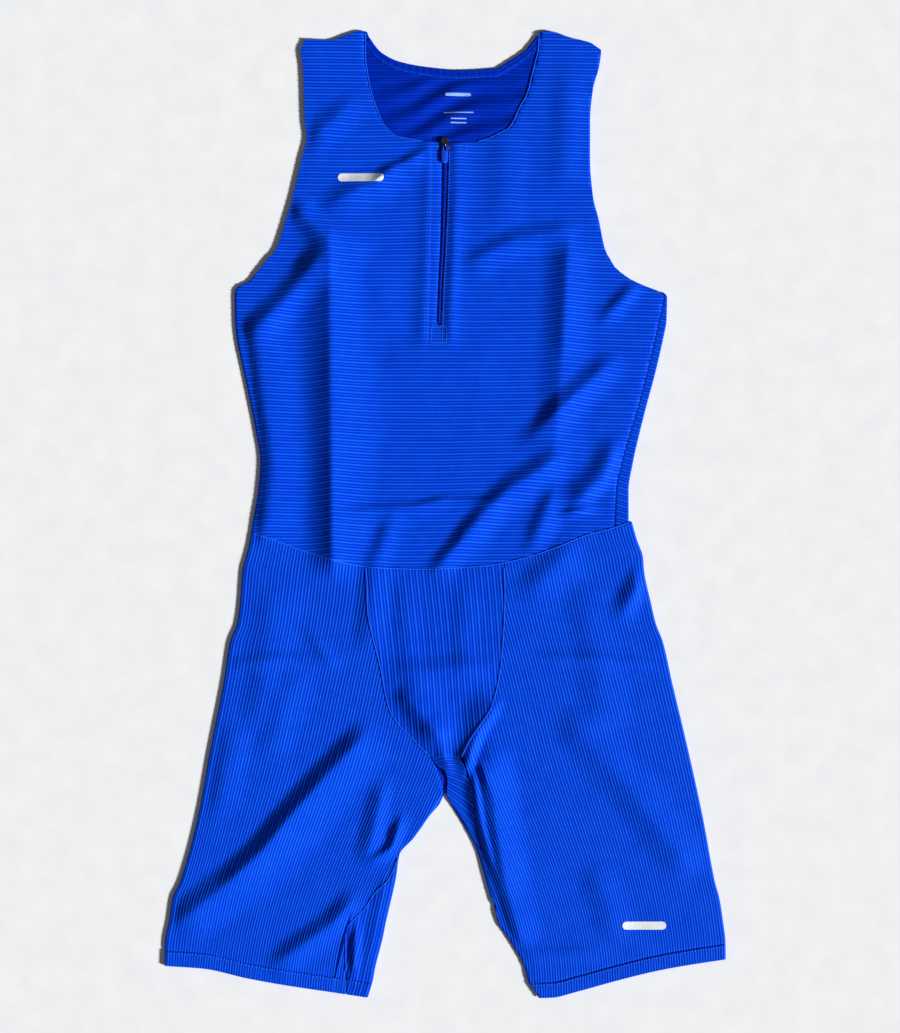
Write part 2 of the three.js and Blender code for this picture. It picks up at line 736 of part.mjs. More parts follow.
function zipSlider() {
  const { wide, long, wall: thick, top, bridge, rail, posts, high } = SLIDER;
  const shape = new THREE.Shape();
  const y = SHOULDER_Y - top;
  shape.moveTo(-wide * 0.3, y).lineTo(wide * 0.3, y).lineTo(wide / 2, y - long * 0.3);
  shape.lineTo(wide * 0.42, y - long).lineTo(-wide * 0.42, y - long).lineTo(-wide / 2, y - long * 0.3);
  const body = solidOf(new THREE.ExtrudeGeometry(shape, { depth: thick, bevelEnabled: false })
    .translate(0, 0, CHAIN_Z));
  // The bridge: two posts sunk a little into the plate, and a bar across them
  const sunk = 0.1;
  const tall = high - thick + sunk;
  const stand = (at) => box(bridge, rail, tall, 0, top + at, CHAIN_Z + high - tall / 2);
  const [front, rear] = posts;
  const barZ = CHAIN_Z + high + (rail - sunk) / 2;
  const bar = box(bridge, rear - front + rail, rail, 0, top + (front + rear) / 2, barZ);
  return body.add(stand(front)).add(stand(rear)).add(bar);
}

// The pull hangs from a pin under the slider's bridge, with an arm on each side of it
const AXIS_DOWN = SLIDER.top + 7.6;
const AXIS_Z = CHAIN_Z + PULL.axis;
function zipPull() {
  const { wide, long, thick, arm, pin, clear, across } = PULL;
  const reach = SLIDER.top + SLIDER.long + clear - AXIS_DOWN;
  const bar = new THREE.CylinderGeometry(pin, pin, across, 12).rotateZ(Math.PI / 2);
  const pinSolid = solidOf(bar.translate(0, SHOULDER_Y - AXIS_DOWN, AXIS_Z));
  const armAt = (x) => box(arm, reach + 1, 2 * pin, x, AXIS_DOWN + (reach + 1) / 2, AXIS_Z);
  const shape = new THREE.Shape();
  const y = SHOULDER_Y - AXIS_DOWN - reach;
  shape.moveTo(-wide / 2, y).lineTo(wide / 2, y).lineTo(wide * 0.46, y - long + 2.4);
  shape.absarc(0, y - long + wide * 0.42, wide * 0.42, 0, -Math.PI, true);
  shape.lineTo(-wide * 0.46, y - long + 2.4);
  const plate = new THREE.ExtrudeGeometry(shape, { depth: thick, bevelEnabled: false, curveSegments: 8 });
  const grip = solidOf(plate.translate(0, 0, AXIS_Z - pin));
  const armX = (across - arm) / 2 + 0.1;
  return pinSolid.add(armAt(-armX)).add(armAt(armX)).add(grip);
}

// Materials
const look = (color, roughness, metalness = 0) =>
  new THREE.MeshStandardMaterial({ color, roughness, metalness });
const CLOTH_BLUE = look(0x003edc, 0.75);
const BACK_BLUE = look(0x0033b8, 0.85);
const TAPE_BLUE = look(0x0a2fb4, 0.8);
const DARK_METAL = look(0x2b2d33, 0.35, 0.9);
const PULL_BLUE = look(0x1a55f0, 0.5);

const group = new THREE.Group();
function addNode(name, solid, material) {
  const { numProp, vertProperties, triVerts } = solid.getMesh();
  const count = vertProperties.length / numProp;
  const positions = new Float32Array(count * 3);
  for (let i = 0; i < count; i++)
    positions.set(vertProperties.subarray(i * numProp, i * numProp + 3), i * 3);
  const geometry = new THREE.BufferGeometry();
  geometry.setAttribute("position", new THREE.BufferAttribute(positions, 3));
  geometry.setIndex(new THREE.BufferAttribute(new Uint32Array(triVerts), 1));
  geometry.computeVertexNormals();
  const mesh = new THREE.Mesh(geometry, material);
  mesh.name = name;
  group.add(mesh);
}

addNode("front_torso", frontTorso(), CLOTH_BLUE);
addNode("back_torso", backTorso(), BACK_BLUE);
addNode("back_neck_band", neckBand(), BACK_BLUE);
addNode("front_leg_right", frontLegRight(), CLOTH_BLUE);
addNode("front_leg_left", frontLegLeft(), CLOTH_BLUE);
addNode("front_pouch", frontPouch(), CLOTH_BLUE);
addNode("crotch_gusset", crotchGusset(), CLOTH_BLUE);
addNode("inner_thigh_right", innerThighRight(), CLOTH_BLUE);
addNode("back_leg_right", backLeg(-1), BACK_BLUE);
addNode("back_leg_left", backLeg(1), BACK_BLUE);
addNode("zip_tape_right", zipTape(-1), TAPE_BLUE);
addNode("zip_tape_left", zipTape(1), TAPE_BLUE);
addNode("zip_chain", zipChain(), TAPE_BLUE);
addNode("zip_slider", zipSlider(), DARK_METAL);
addNode("zip_pull_tab", zipPull(), PULL_BLUE);

export default group;
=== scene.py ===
import math

import bmesh
import bpy
import numpy as np
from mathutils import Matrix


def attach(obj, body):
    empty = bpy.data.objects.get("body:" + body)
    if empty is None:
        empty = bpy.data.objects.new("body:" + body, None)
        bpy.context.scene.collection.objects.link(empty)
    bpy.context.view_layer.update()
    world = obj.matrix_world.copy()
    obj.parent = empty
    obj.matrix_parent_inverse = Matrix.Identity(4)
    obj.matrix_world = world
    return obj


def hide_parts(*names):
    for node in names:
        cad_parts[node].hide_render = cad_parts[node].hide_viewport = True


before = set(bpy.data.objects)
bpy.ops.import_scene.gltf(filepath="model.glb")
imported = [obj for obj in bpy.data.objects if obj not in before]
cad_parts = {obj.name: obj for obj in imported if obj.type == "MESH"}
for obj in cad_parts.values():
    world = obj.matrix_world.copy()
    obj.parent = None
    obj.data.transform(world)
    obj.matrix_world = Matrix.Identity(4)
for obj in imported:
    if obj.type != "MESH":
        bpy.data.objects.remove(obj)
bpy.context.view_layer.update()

# A sleeveless ribbed speedsuit with shorts, laid flat on its back. Places are in millimetres:
# x towards the wearer's left, "down" from the top of the shoulder to the hem, z up.
MM = 0.001
SHOULDER_Y = 483.5  # the frame's y where down is 0
BACK = 1.2  # thickness of the back
CLOTH = 1.5  # and of the front
GAP = 0.3  # between pieces
FRONT = BACK + GAP + CLOTH  # where a flat front would have its face
PITCH = 6.0  # of the torso's ribs
LEG_PITCH = 6.3
LEG_PITCH_AT_HEM = 5.2
HEM = 15.0
EDGE_ROUND = 2.4  # radius of the rolled outline
FADE = 14.0  # over which the creases die out towards the outline
RIM = 1.4  # how far a shell's border is turned down
STEP = 0.75  # between rows of points on the torso
RUN = 0.5  # between the places tried along a rib
THIN = 0.04  # the share of its height that a rolled edge keeps
CROTCH = 764
THIGH_TOP = 822
NECK_LOW = 111.5  # the lowest point of the front neck
ZIP_TOP = 120.4
SLIT_END = 294
CHAIN_END = 292
SLIT_WIDE, SLIT_NARROW = 6.4, 4.4
SLIT_TOP = 4.5  # half the slit's width beside the slider
FAR = 999  # from a seam that isn't there
EDGE_LINES = [0, 0.25, 0.7, 1.3, 2.1]  # how far inside a rolled edge the first lines of points lie
LIGHT_FROM = (0.79, 0.29)
RISE = 1.4  # scales the rises of the creases


def table(names, rows):
    return dict(zip(names.split(), np.array(rows, float).T))


# Outlines and seams of the cut pieces
TORSO = table("down right seam left", [
    (-12, -139, 156, 156), (9, -140, 156, 156), (20, -144, 156, 156), (36, -142, 154, 154),
    (58, -141, 148, 148), (90, -140, 145, 145), (106, -138, 145, 145), (128, -143, 145, 145),
    (166, -152, 148, 148), (190, -159, 154, 154), (203, -163, 156.5, 156.5), (220, -169.5, 160.5, 160.5),
    (228, -177, 165, 165), (236, -183, 169.7, 169.7), (243, -189, 177.6, 177.6),
    (250, -195.5, 188.3, 188.3), (256, -207, 202, 203), (260, -210, 212, 216), (266, -210.4, 218.5, 222),
    (289, -210, 214, 221.5), (306, -208.5, 210.5, 218.5), (345, -200.5, 201, 209.5),
    (369, -195.5, 195, 203), (399, -189.5, 186, 195.3), (431, -184.8, 177, 188), (460, -187, 171, 183.5),
    (492, -192.5, 169.5, 183.5), (545, -199, 168, 184),
])
LEG = table("down right left", [
    (480, -192, 184), (509, -195, 192), (526, -199, 198), (539, -202.5, 199), (572, -205, 206),
    (593, -208, 211), (611, -215, 218), (649, -221, 226.6), (720, -235, 243.4), (787, -247.4, 258),
    (851, -265, 270), (867, -272.5, 274.4), (890, -276, 278), (911, -280, 280.5), (970, -281.5, 281.2),
])
INNER = table("down right left", [
    (763, -1.2, -0.8), (787, -17, 15.5), (808, -32, 27), (822, -45, 33.5), (847, -49, 40), (874, -55, 47.5),
    (891, -59, 52.5), (906, -62, 62.5), (938, -70, 80), (949, -72, 82.5), (966, -77, 93),
])
WAIST = table("x down", [
    (-215, 496), (-194, 502), (-173, 508), (-144, 519), (-117, 527), (-89, 534), (-60, 537), (-24, 538),
    (37, 535), (58, 532), (86, 525), (112, 516), (142, 504), (168, 497), (185, 491), (205, 486),
])
HEM_RIGHT = table("x down", [
    (-300, 932), (-277, 934.5), (-242, 937), (-196, 947), (-163, 953), (-114, 960.5), (-77, 966), (20, 980),
])
HEM_LEFT = table("x down", [
    (-20, 990), (93, 966.5), (107, 966), (130, 960.5), (172, 949), (213, 939), (246, 933), (300, 925),
])
SHOULDER = table("x down", [
    (-150, 10), (-140, 9), (-114, 10), (-101, 5.5), (-83, 0.4), (-70, 2), (90, 2), (102, 0.4), (128, 8),
    (145, 12), (151, 16), (160, 22),
])
NECK_RIGHT = table("down x", [
    (-20, -79), (26, -79.5), (45, -77), (60, -74), (79, -68), (93, -62), (101, -55), (106, -48), (109, -31),
    (111, -16), (111.5, -6),
])
NECK_LEFT = table("down x", [
    (-20, 95), (19, 93), (32, 90), (48, 86), (63, 82), (77, 74.5), (97, 64), (104, 51.5), (109, 40),
    (112, 26),
])
BACK_NECK = table("x down", [
    (-78, 2), (-76, 7), (-63, 23), (-44, 32), (-12, 38), (13, 40), (51, 38), (64, 31), (81, 19.5),
    (87, 12.5), (94, 3),
])
POUCH_RIGHT = table("down x", [
    (520, -79), (533, -79), (550, -78), (580, -77), (606, -72), (634, -65), (677, -56), (694, -46),
    (704.5, -35.5), (726, -15),
])
POUCH_LEFT = table("down x", [
    (520, 59), (534, 59), (560, 60), (611, 58), (647, 54), (675, 46.6), (696.5, 33), (710, 24), (726, 16),
])
SIDE_RIGHT = table("down x", [
    (738, -8), (752, -3.5), (764, -1.5), (787, -17), (808, -32), (822, -45), (847, -56), (863, -71),
    (877, -80), (889, -92), (899, -99), (980, -99),
])
SIDE_LEFT = table("down x", [
    (738, 22), (749, 26), (765, 29), (786, 31), (806, 34), (824, 37), (838, 41), (852, 45), (863, 48),
    (874, 50.4), (891, 52.5), (906, 62.5), (938, 80), (949, 82.5), (966, 93), (990, 94),
])
GUSSET = table("x down endDown", [
    (-14, 726.6, 726.8), (-7, 735, 738), (0, 740, 749), (2.2, 750, 765), (1.4, 762, 786), (7, 775, 806),
    (16, 790, 824), (24, 802, 838), (33, 823, 852), (38, 840, 863), (45, 864, 874),
])
THIGH_RIGHT = {key: column[SIDE_RIGHT["down"] >= THIGH_TOP] for key, column in SIDE_RIGHT.items()}

# Creases in the laid cloth, from one end of a crest to the other: its rise, its shaded flank
# towards the wearer's upper right, its lit flank, and how sharp the crest is from 0 to 1
CREASES = table("x down endX endDown rise shaded lit sharp", [
    (-115, 200, -114, 300, 6.4, 36, 54, 0.8), (-114, 300, -113, 420, 6.6, 34, 56, 0.9),
    (-113, 420, -112, 540, 6.4, 30, 46, 0.9), (-190, 292, -178, 400, 3.4, 12, 46, 0.2),
    (-178, 400, -182, 505, 3.4, 12, 46, 0.2), (123, 212, 117, 324, 4.8, 26, 34, 0.7),
    (117, 324, 108, 426, 3.2, 26, 36, 0.6), (108, 462, 87, 514, 3.6, 15, 22, 0.5),
    (-137, 112, -93, 74, 2.4, 18, 24, 0.3), (-153, 174, -119, 208, 4, 18, 20, 0.4),
    (-124, 226, -158, 268, 4.8, 20, 26, 0.5), (-158, 268, -190, 300, 4.6, 20, 24, 0.5),
    (-112, 172, -71, 152, 3.8, 20, 30, 0.6), (-71, 152, -51, 137, 3.6, 12, 28, 0.8),
    (-51, 137, -14, 119, 3.2, 9, 26, 0.8), (26, 232, 70, 209, 3, 16, 24, 0.4),
    (70, 209, 128, 199, 3, 16, 24, 0.4), (165, 331, 117, 376, 4.4, 18, 24, 0.6),
    (117, 376, 84, 410, 3.4, 17, 26, 0.5), (111, 428, 67, 456, 4.6, 18, 26, 0.5),
    (67, 456, 39, 482, 5, 18, 26, 0.6), (39, 482, 15, 511, 4.8, 16, 26, 0.6),
    (15, 511, -9, 538, 3.4, 14, 22, 0.4), (172, 414, 156, 446, 4.4, 22, 18, 0.4),
    (156, 446, 128, 474, 4.6, 22, 16, 0.4), (146, 478, 120, 482, 2.6, 7, 9, 0.3),
    (190, 255, 160, 287, 3.2, 12, 14, 0.4), (-92, 480, -32, 476, 2, 9, 20, 0.5),
    (-32, 476, -1, 469, 2.2, 8, 20, 0.6), (-1, 469, 50, 471, 1.8, 8, 18, 0.4),
    (-54, 490, -70, 533, 2.6, 13, 18, 0.3), (-58, 330, 40, 336, 0.8, 30, 30, 0.0),
    (-64, 230, -58, 300, 1.2, 24, 30, 0.0), (62, 110, 58, 190, 1.4, 24, 28, 0.0),
    (124, 40, 118, 150, 1.4, 22, 26, 0.1), (-80, 703, -123, 749, 5.6, 20, 44, 0.5),
    (-123, 749, -153, 783, 6, 20, 46, 0.6), (-153, 783, -183, 820, 6.4, 20, 46, 0.6),
    (-183, 820, -219, 853, 6.2, 20, 42, 0.6), (-219, 853, -262, 888, 4.8, 22, 36, 0.5),
    (-92, 868, -113, 892, 3.8, 17, 22, 0.5), (-113, 892, -166, 930, 4, 17, 24, 0.4),
    (-45, 790, -53, 816, 3.4, 9, 12, 0.6), (-53, 816, -72, 828, 3, 8, 12, 0.6),
    (-62, 756, -78, 826, 2.6, 17, 14, 0.3), (-89, 897, -91, 940, 3, 8, 9, 0.5),
    (-58, 850, -74, 935, 1.1, 12, 10, 0.2), (125, 517, 85, 560, 3.2, 24, 34, 0.3),
    (124, 690, 180, 752, 3.2, 28, 34, 0.3), (180, 752, 242, 834, 3.4, 28, 34, 0.3),
    (28, 742, 36, 790, 3.2, 16, 6, 0.5), (36, 790, 46, 834, 2.6, 11, 6, 0.5),
    (44, 722, 50, 788, 5.2, 28, 30, 0.5), (50, 788, 60, 850, 5, 22, 32, 0.5),
    (60, 850, 76, 910, 3.4, 16, 28, 0.4), (22, 728, 37, 731, 2, 7, 8, 0.5),
    (37, 731, 43, 756, 2, 8, 8, 0.5), (204, 536, 176, 582, 3.6, 18, 18, 0.4),
    (-70, 532, -76, 612, 2.2, 20, 22, 0.2), (-208, 631, -160, 627, 1.5, 9, 14, 0.6),
    (-160, 627, -112, 630, 1.4, 9, 14, 0.6), (102, 626, 150, 627, 1.5, 9, 14, 0.6),
    (150, 627, 202, 633, 1.6, 9, 14, 0.6), (-136, 602, -112, 632, 1.6, 10, 14, 0.4),
    (-44, 640, 42, 636, 2.6, 18, 26, 0.3), (-42, 662, -24, 682, 5, 20, 34, 0.4),
    (-24, 682, 0, 712, 7.6, 24, 34, 0.5), (-4, 716, 4, 738, 2.4, 12, 9, 0.3),
    (20, 738, 32, 704, 6, 27, 9, 0.5), (32, 704, 51, 674, 4, 30, 9, 0.3),
    (73, 923, 150, 921, 1.2, 10, 14, 0.3), (140, 560, 160, 690, 1.6, 26, 34, 0.1),
    (-170, 560, -184, 690, 1.6, 26, 34, 0.1), (-146, 640, -176, 720, 1.4, 20, 28, 0.1),
    (-40, 560, -36, 640, 1, 16, 20, 0.1), (20, 560, 18, 640, 1, 16, 20, 0.1),
    (150, 840, 172, 900, 2, 24, 26, 0.1), (-210, 700, -226, 780, 1.6, 18, 24, 0.1),
])


def through(rows, at, value):
    """A smooth curve through a table's rows that never swings past them."""
    x, y = rows[at], rows[value]
    span = np.diff(x)
    slope = np.diff(y) / span
    before = np.r_[slope[0], slope]
    after = np.r_[slope, slope[-1]]
    same = before * after > 0
    tangent = np.where(same, 2 * before * after / np.where(same, before + after, 1), 0)

    def curve(p):
        p = np.clip(p, x[0], x[-1])
        i = np.clip(np.searchsorted(x, p, side="right") - 1, 0, len(span) - 1)
        t = (p - x[i]) / span[i]
        rise = y[i + 1] - y[i]
        bend, next_bend = tangent[i] * span[i], tangent[i + 1] * span[i]
        return y[i] + t * (bend + t * (3 * rise - 2 * bend - next_bend + t * (bend + next_bend - 2 * rise)))

    return curve


def joined(first, second):
    return {key: np.concatenate([first[key], second[key]]) for key in first}


def curves(rows, at, *values):
    return [through(rows, at, value) for value in values]


torso_right, torso_seam, torso_left = curves(TORSO, "down", "right", "seam", "left")
leg_right, leg_left = curves(LEG, "down", "right", "left")
inner_right, inner_left = curves(INNER, "down", "right", "left")
waist, shoulder, hem_right, hem_left, back_neck = (
    through(rows, "x", "down") for rows in (WAIST, SHOULDER, HEM_RIGHT, HEM_LEFT, BACK_NECK))
neck_right, neck_left, pouch_right, pouch_left, side_right, side_left, thigh_seam = (
    through(rows, "down", "x") for rows in (
        NECK_RIGHT, NECK_LEFT, POUCH_RIGHT, POUCH_LEFT, joined(POUCH_RIGHT, SIDE_RIGHT),
        joined(POUCH_LEFT, SIDE_LEFT), THIGH_RIGHT))
zip_x = through(table("down x", [(100, 0), (140, -0.3), (199, -2), (269, -5.5), (320, -7)]), "down", "x")
SIDES = {
    -1: ("right", leg_right, inner_right, side_right, hem_right),
    1: ("left", leg_left, inner_left, side_left, hem_left),
}



def mix(a, b, t):
    return a + (b - a) * t


def ease(t):
    s = np.clip(t, 0, 1)
    return s * s * (3 - 2 * s)


def crease(x, down, start_x, start_down, end_x, end_down, rise, shaded, lit, sharp):
    """The height that one crease adds."""
    along_x, along_down = end_x - start_x, end_down - start_down
    length = math.hypot(along_x, along_down)
    along = ((x - start_x) * along_x + (down - start_down) * along_down) / length
    across = ((x - start_x) * along_down - (down - start_down) * along_x) / length
    if LIGHT_FROM[0] * along_down < LIGHT_FROM[1] * along_x:
        across = -across
    side = np.abs(across) / np.where(across > 0, lit, shaded)
    soft = 0.5 * (1 + np.cos(np.pi * np.minimum(side, 1)))
    keen = np.maximum(1.05 - np.sqrt(side * side + 0.05**2), 0) ** 2
    fade = min(18.0, 0.45 * length)
    ends = ease((along + fade) / (2 * fade)) * ease((length + fade - along) / (2 * fade))
    return RISE * rise * ends * np.where(side < 1.05, mix(soft, keen, sharp), 0)


def slit_width(down, start):
    return mix(SLIT_WIDE, SLIT_NARROW, ease((down - start) / 130))


def inside_by(x, down):
    """How far a place lies inside the silhouette's side edges."""
    body = np.minimum(x - torso_right(down), torso_seam(down) - x)
    outer = np.minimum(x - leg_right(down), leg_left(down) - x)
    inner = np.where(x < 0, inner_right(down) - x, x - inner_left(down))
    legs = np.where(down < INNER["down"][0], outer, np.minimum(outer, inner))
    return np.where(down < waist(x), body, legs)


def zip_ridge(x, down):
    return ease((30 - np.abs(x - zip_x(down))) / 16) * ease((345 - down) / 35)


def placket(x, down):
    """The strip beside the zip that its topstitching holds down, with the cloth puffed beyond."""
    across = x - zip_x(down)
    held = ease((across + zip_stitch(down) + 1) / 1.8) * ease((9.2 - across) / 1.6)
    deeper = 0.5 + 0.8 * ease((down - 150) / 40)
    puffed = np.exp(-(((across + 15) / 6) ** 2)) + 1.6 * deeper * np.exp(-(((across - 12) / 5) ** 2))
    return (0.55 * puffed - 0.6 * held) * ease((322 - down) / 24)


def zip_stitch(down):
    """How far to the wearer's right of the zip its outer row of stitches runs."""
    return 14.4 - 3 * ease((down - 116) / 190)


def lift(x, down):
    """Height of the laid front above where it would lie flat."""
    folds = sum(crease(x, down, *row) for row in zip(*CREASES.values()))
    quiver = 0.3 * np.sin(x / 31 + down / 47) * np.sin(down / 38 - x / 83)
    quiver += 0.12 * np.sin(x / 13 - down / 21 + 2) * np.sin(down / 17 + x / 29)
    ridge = zip_ridge(x, down)
    laid = (folds + quiver) * (1 - 0.85 * ridge) * ease(inside_by(x, down) / FADE)
    return laid + 1.2 * ridge + placket(x, down)


def round_off(distance, radius):
    """A fraction that falls from 1 to 0 as a quarter circle within radius of an edge."""
    t = 1 - np.clip(distance / radius, 0, 1)
    return np.sqrt(np.maximum(1 - t * t, 0))


def rib(phase, weak=0.8):
    """Height of the knit's cords, a strong one and a weaker one in each pitch, and a brightness that paints
    a highlight on their crests and shade in the grooves.
    """
    main = (0.5 + 0.5 * np.cos(2 * np.pi * phase)) ** 2.6
    second = weak * (0.5 + 0.5 * np.cos(2 * np.pi * (phase - 0.5))) ** 3.2
    return 0.6 * main + 0.56 * second, main + second


def torso_phase(x, down):
    wander = 0.8 * np.sin(x / 67 + 0.6) + 0.5 * np.sin(x / 29 + down / 90)
    return (down - 3 + 0.35 * lift(x, down) + wander) / PITCH


def seam_dip(distance, width=1.0, depth=0.45):
    return depth * np.exp(-((distance / width) ** 2))


# Meshes
def placed(name, data):
    """A new object of the scene."""
    thing = bpy.data.objects.new(name, data)
    bpy.context.scene.collection.objects.link(thing)
    return thing


def quads(index):
    """Four-sided faces over a grid of point numbers."""
    return np.stack([index[:-1, :-1], index[1:, :-1], index[1:, 1:], index[:-1, 1:]], -1).reshape(-1, 4)


def tube(first, rings, sides):
    """Faces of a tube whose rings of points follow one another from first."""
    faces = []
    for i in range(rings - 1):
        for k in range(sides):
            a, b = first + i * sides + k, first + i * sides + (k + 1) % sides
            faces.append((a, b, b + sides, a + sides))
    return faces


def around(count):
    return np.linspace(0, 2 * np.pi, count, endpoint=False)


def line_of(x, down):
    return np.stack([x + 0 * down, down + 0 * x], -1)


def headings(path):
    """Unit directions along a path of points."""
    ahead = np.gradient(path, axis=0)
    return ahead / np.linalg.norm(ahead, axis=1)[:, None]


def spot(x, down, z):
    return (x * MM, (SHOULDER_Y - down) * MM, z * MM)


def mesh_object(name, points, faces, marks=None):
    mesh = bpy.data.meshes.new(name)
    mesh.from_pydata(np.asarray(points).tolist(), [], faces)
    for key, values in (marks or {}).items():
        layer = mesh.attributes.new(key, "FLOAT", "POINT")
        layer.data.foreach_set("value", np.asarray(values, np.float32))
    mesh.polygons.foreach_set("use_smooth", np.ones(len(mesh.polygons), bool))
    mesh.update()
    return placed(name, mesh)


def cloth(name, grids, rim=RIM, floor=False):
    """One shell from grids of (x, down, z, rib tone), with shared edges merged and its border turned down;
    the rib tone, the cords' painted highlight and shade, is kept as the attribute rib.
    """
    keys, points, marks, cells = [], [], [], []
    start = 0
    for x, down, z, painted_light_tone in grids:
        cells.append(quads(start + np.arange(x.size).reshape(x.shape)))
        start += x.size
        z = np.broadcast_to(z, x.shape)
        keys.append(np.round(np.stack([x, down, z], -1).reshape(-1, 3) / 0.02).astype(int))
        points.append(np.stack(spot(x, down, z), -1).reshape(-1, 3))
        marks.append(np.broadcast_to(painted_light_tone, x.shape).reshape(-1))
    keys, points, marks, cells = (np.concatenate(part) for part in (keys, points, marks, cells))
    _, kept, same = np.unique(keys, axis=0, return_index=True, return_inverse=True)
    points, marks, cells = points[kept], marks[kept], same.reshape(-1)[cells]
    a, b, c, d = cells.T
    edges_equal = np.stack([a == b, b == c, c == d, d == a])
    clean = (a != c) & (b != d)
    count = edges_equal.sum(0)
    whole = clean & (count == 0)
    p = points[:, :2]
    area = np.cross(p[c] - p[a], p[d] - p[b])
    order = slice(None, None, -1 if np.median(area[whole]) < 0 else 1)
    faces = cells[whole][:, order].tolist()
    for k in range(4):
        three = [m for m in range(4) if m != k]
        faces += cells[clean & (count == 1) & edges_equal[k]][:, three][:, order].tolist()
    piece = mesh_object(name, points, faces, {"rib": marks})
    turn_down(piece, rim, floor)
    return piece


def turn_down(piece, rim, floor):
    """Turns a shell's border down by a rim, or to the floor and closed there."""
    bm = bmesh.new()
    bm.from_mesh(piece.data)
    bmesh.ops.delete(bm, geom=[v for v in bm.verts if not v.link_faces], context="VERTS")
    border = [edge for edge in bm.edges if edge.is_boundary]
    made = bmesh.ops.extrude_edge_only(bm, edges=border)["geom"]
    for item in made:
        if isinstance(item, bmesh.types.BMVert):
            item.co.z = 0.1 * MM if floor else max(item.co.z - rim * MM, 0.1 * MM)
        elif isinstance(item, bmesh.types.BMFace):
            item.smooth = False
    if floor:
        lower = [edge for edge in bm.edges if edge.is_boundary]
        for face in bmesh.ops.holes_fill(bm, edges=lower, sides=0)["faces"]:
            face.smooth = False
    bm.to_mesh(piece.data)
    bm.free()


def front_shell(x, down, share, phase, hem=0.0, dip=0.0, weak=0.8):
    """A grid of the front's face, with its ribs and their painted highlight and shade, at a share of its
    height.
    """
    cord, painted_light_tone = rib(phase, weak)
    return x, down, (FRONT + lift(x, down) + cord + hem - dip) * share, painted_light_tone


def spaced(start, end, step):
    return np.linspace(start, end, max(int(round((end - start) / step)), 1) + 1)


def merged(*parts):
    """One rising run of places from several, without near repeats."""
    places = np.unique(np.round(np.concatenate(parts), 3))
    return places[np.r_[True, np.diff(places) > 0.6]]


# Materials
def linear(colour):
    """A colour given as it shows on a screen, from 0 to 255."""
    return tuple(((v / 255 + 0.055) / 1.055) ** 2.4 if v > 10 else v / 255 / 12.92 for v in colour) + (1,)


SHEEN = 0.08
CLOTH_GLOSS = linear((90, 160, 255))


class Nodes:
    """Short calls for building one material's node tree."""

    def __init__(self, name):
        self.material = bpy.data.materials.new(name)
        self.material.use_nodes = True
        self.tree = self.material.node_tree
        self.shader = self.tree.nodes["Principled BSDF"]

    def add(self, kind, inputs=None, **settings):
        node = self.tree.nodes.new(kind)
        for key, value in settings.items():
            setattr(node, key, value)
        for key, value in (inputs or {}).items():
            if isinstance(value, bpy.types.NodeSocket):
                self.tree.links.new(value, node.inputs[key])
            else:
                node.inputs[key].default_value = value
        return node

    def link(self, socket, name):
        self.tree.links.new(socket, self.shader.inputs[name])

    def set(self, name, value):
        self.shader.inputs[name].default_value = value

    def place(self):
        return self.add("ShaderNodeTexCoord").outputs["Object"]

    def noise(self, place, scale, detail, roughness=0.5):
        settings = {"Vector": place, "Scale": scale, "Detail": detail, "Roughness": roughness}
        return self.add("ShaderNodeTexNoise", settings).outputs["Fac"]

    def maths(self, operation, *values):
        return self.add("ShaderNodeMath", dict(enumerate(values)), operation=operation).outputs[0]

    def bump(self, height, strength, distance, **below):
        settings = {"Height": height, "Strength": strength, "Distance": distance, **below}
        return self.add("ShaderNodeBump", settings).outputs["Normal"]

    def spread(self, factor, low, high):
        spread = {"Value": factor, "To Min": low, "To Max": high}
        return self.add("ShaderNodeMapRange", spread).outputs["Result"]

    def ramp(self, factor, stops):
        node = self.add("ShaderNodeValToRGB", {"Fac": factor})
        elements = node.color_ramp.elements
        while len(elements) < len(stops):
            elements.new(0.5)
        for element, (position, colour) in zip(elements, stops):
            element.position = position
            element.color = linear(colour)
        return node.outputs["Color"]


def cloth_shader(nodes, place, cords, colours, sheen):
    """Painted shade in the grooves and a painted highlight on the cords, broken by fine stitches, with a
    slight mottle.
    """
    stitch = nodes.noise(place, 900.0, 2.0, 0.6)
    mottle = nodes.noise(place, 60.0, 5.0, 0.7)
    gate = nodes.maths("ADD", 0.72, nodes.maths("MULTIPLY", stitch, 0.5))
    bright = nodes.maths("MULTIPLY", cords, gate)
    painted_light_tone = nodes.maths("ADD", bright, nodes.maths("MULTIPLY_ADD", mottle, 0.3, -0.15))
    nodes.link(nodes.ramp(painted_light_tone, list(zip((0.0, 0.42, 1.0), colours))), "Base Color")
    nodes.link(nodes.spread(cords, 0.72, 0.58), "Roughness")
    knit = nodes.add("ShaderNodeTexVoronoi", {"Vector": place, "Scale": 1100.0, "Randomness": 0.6})
    nodes.set("Sheen Weight", sheen)
    nodes.set("Sheen Roughness", 0.4)
    nodes.set("Sheen Tint", linear((30, 110, 255)))
    nodes.set("Specular IOR Level", 0.14)
    nodes.set("Specular Tint", CLOTH_GLOSS)
    return nodes.bump(knit.outputs["Distance"], 0.25, 0.0003)


def knit_material(name, colours, sheen):
    """Ribbed knit whose cords stand in the mesh and are marked on it as the attribute rib, whose tone
    paints a highlight on the crests and shade in the grooves.
    """
    nodes = Nodes(name)
    place = nodes.place()
    cords = nodes.add("ShaderNodeAttribute", attribute_name="rib").outputs["Fac"]
    nodes.link(cloth_shader(nodes, place, cords, colours, sheen), "Normal")
    return nodes.material


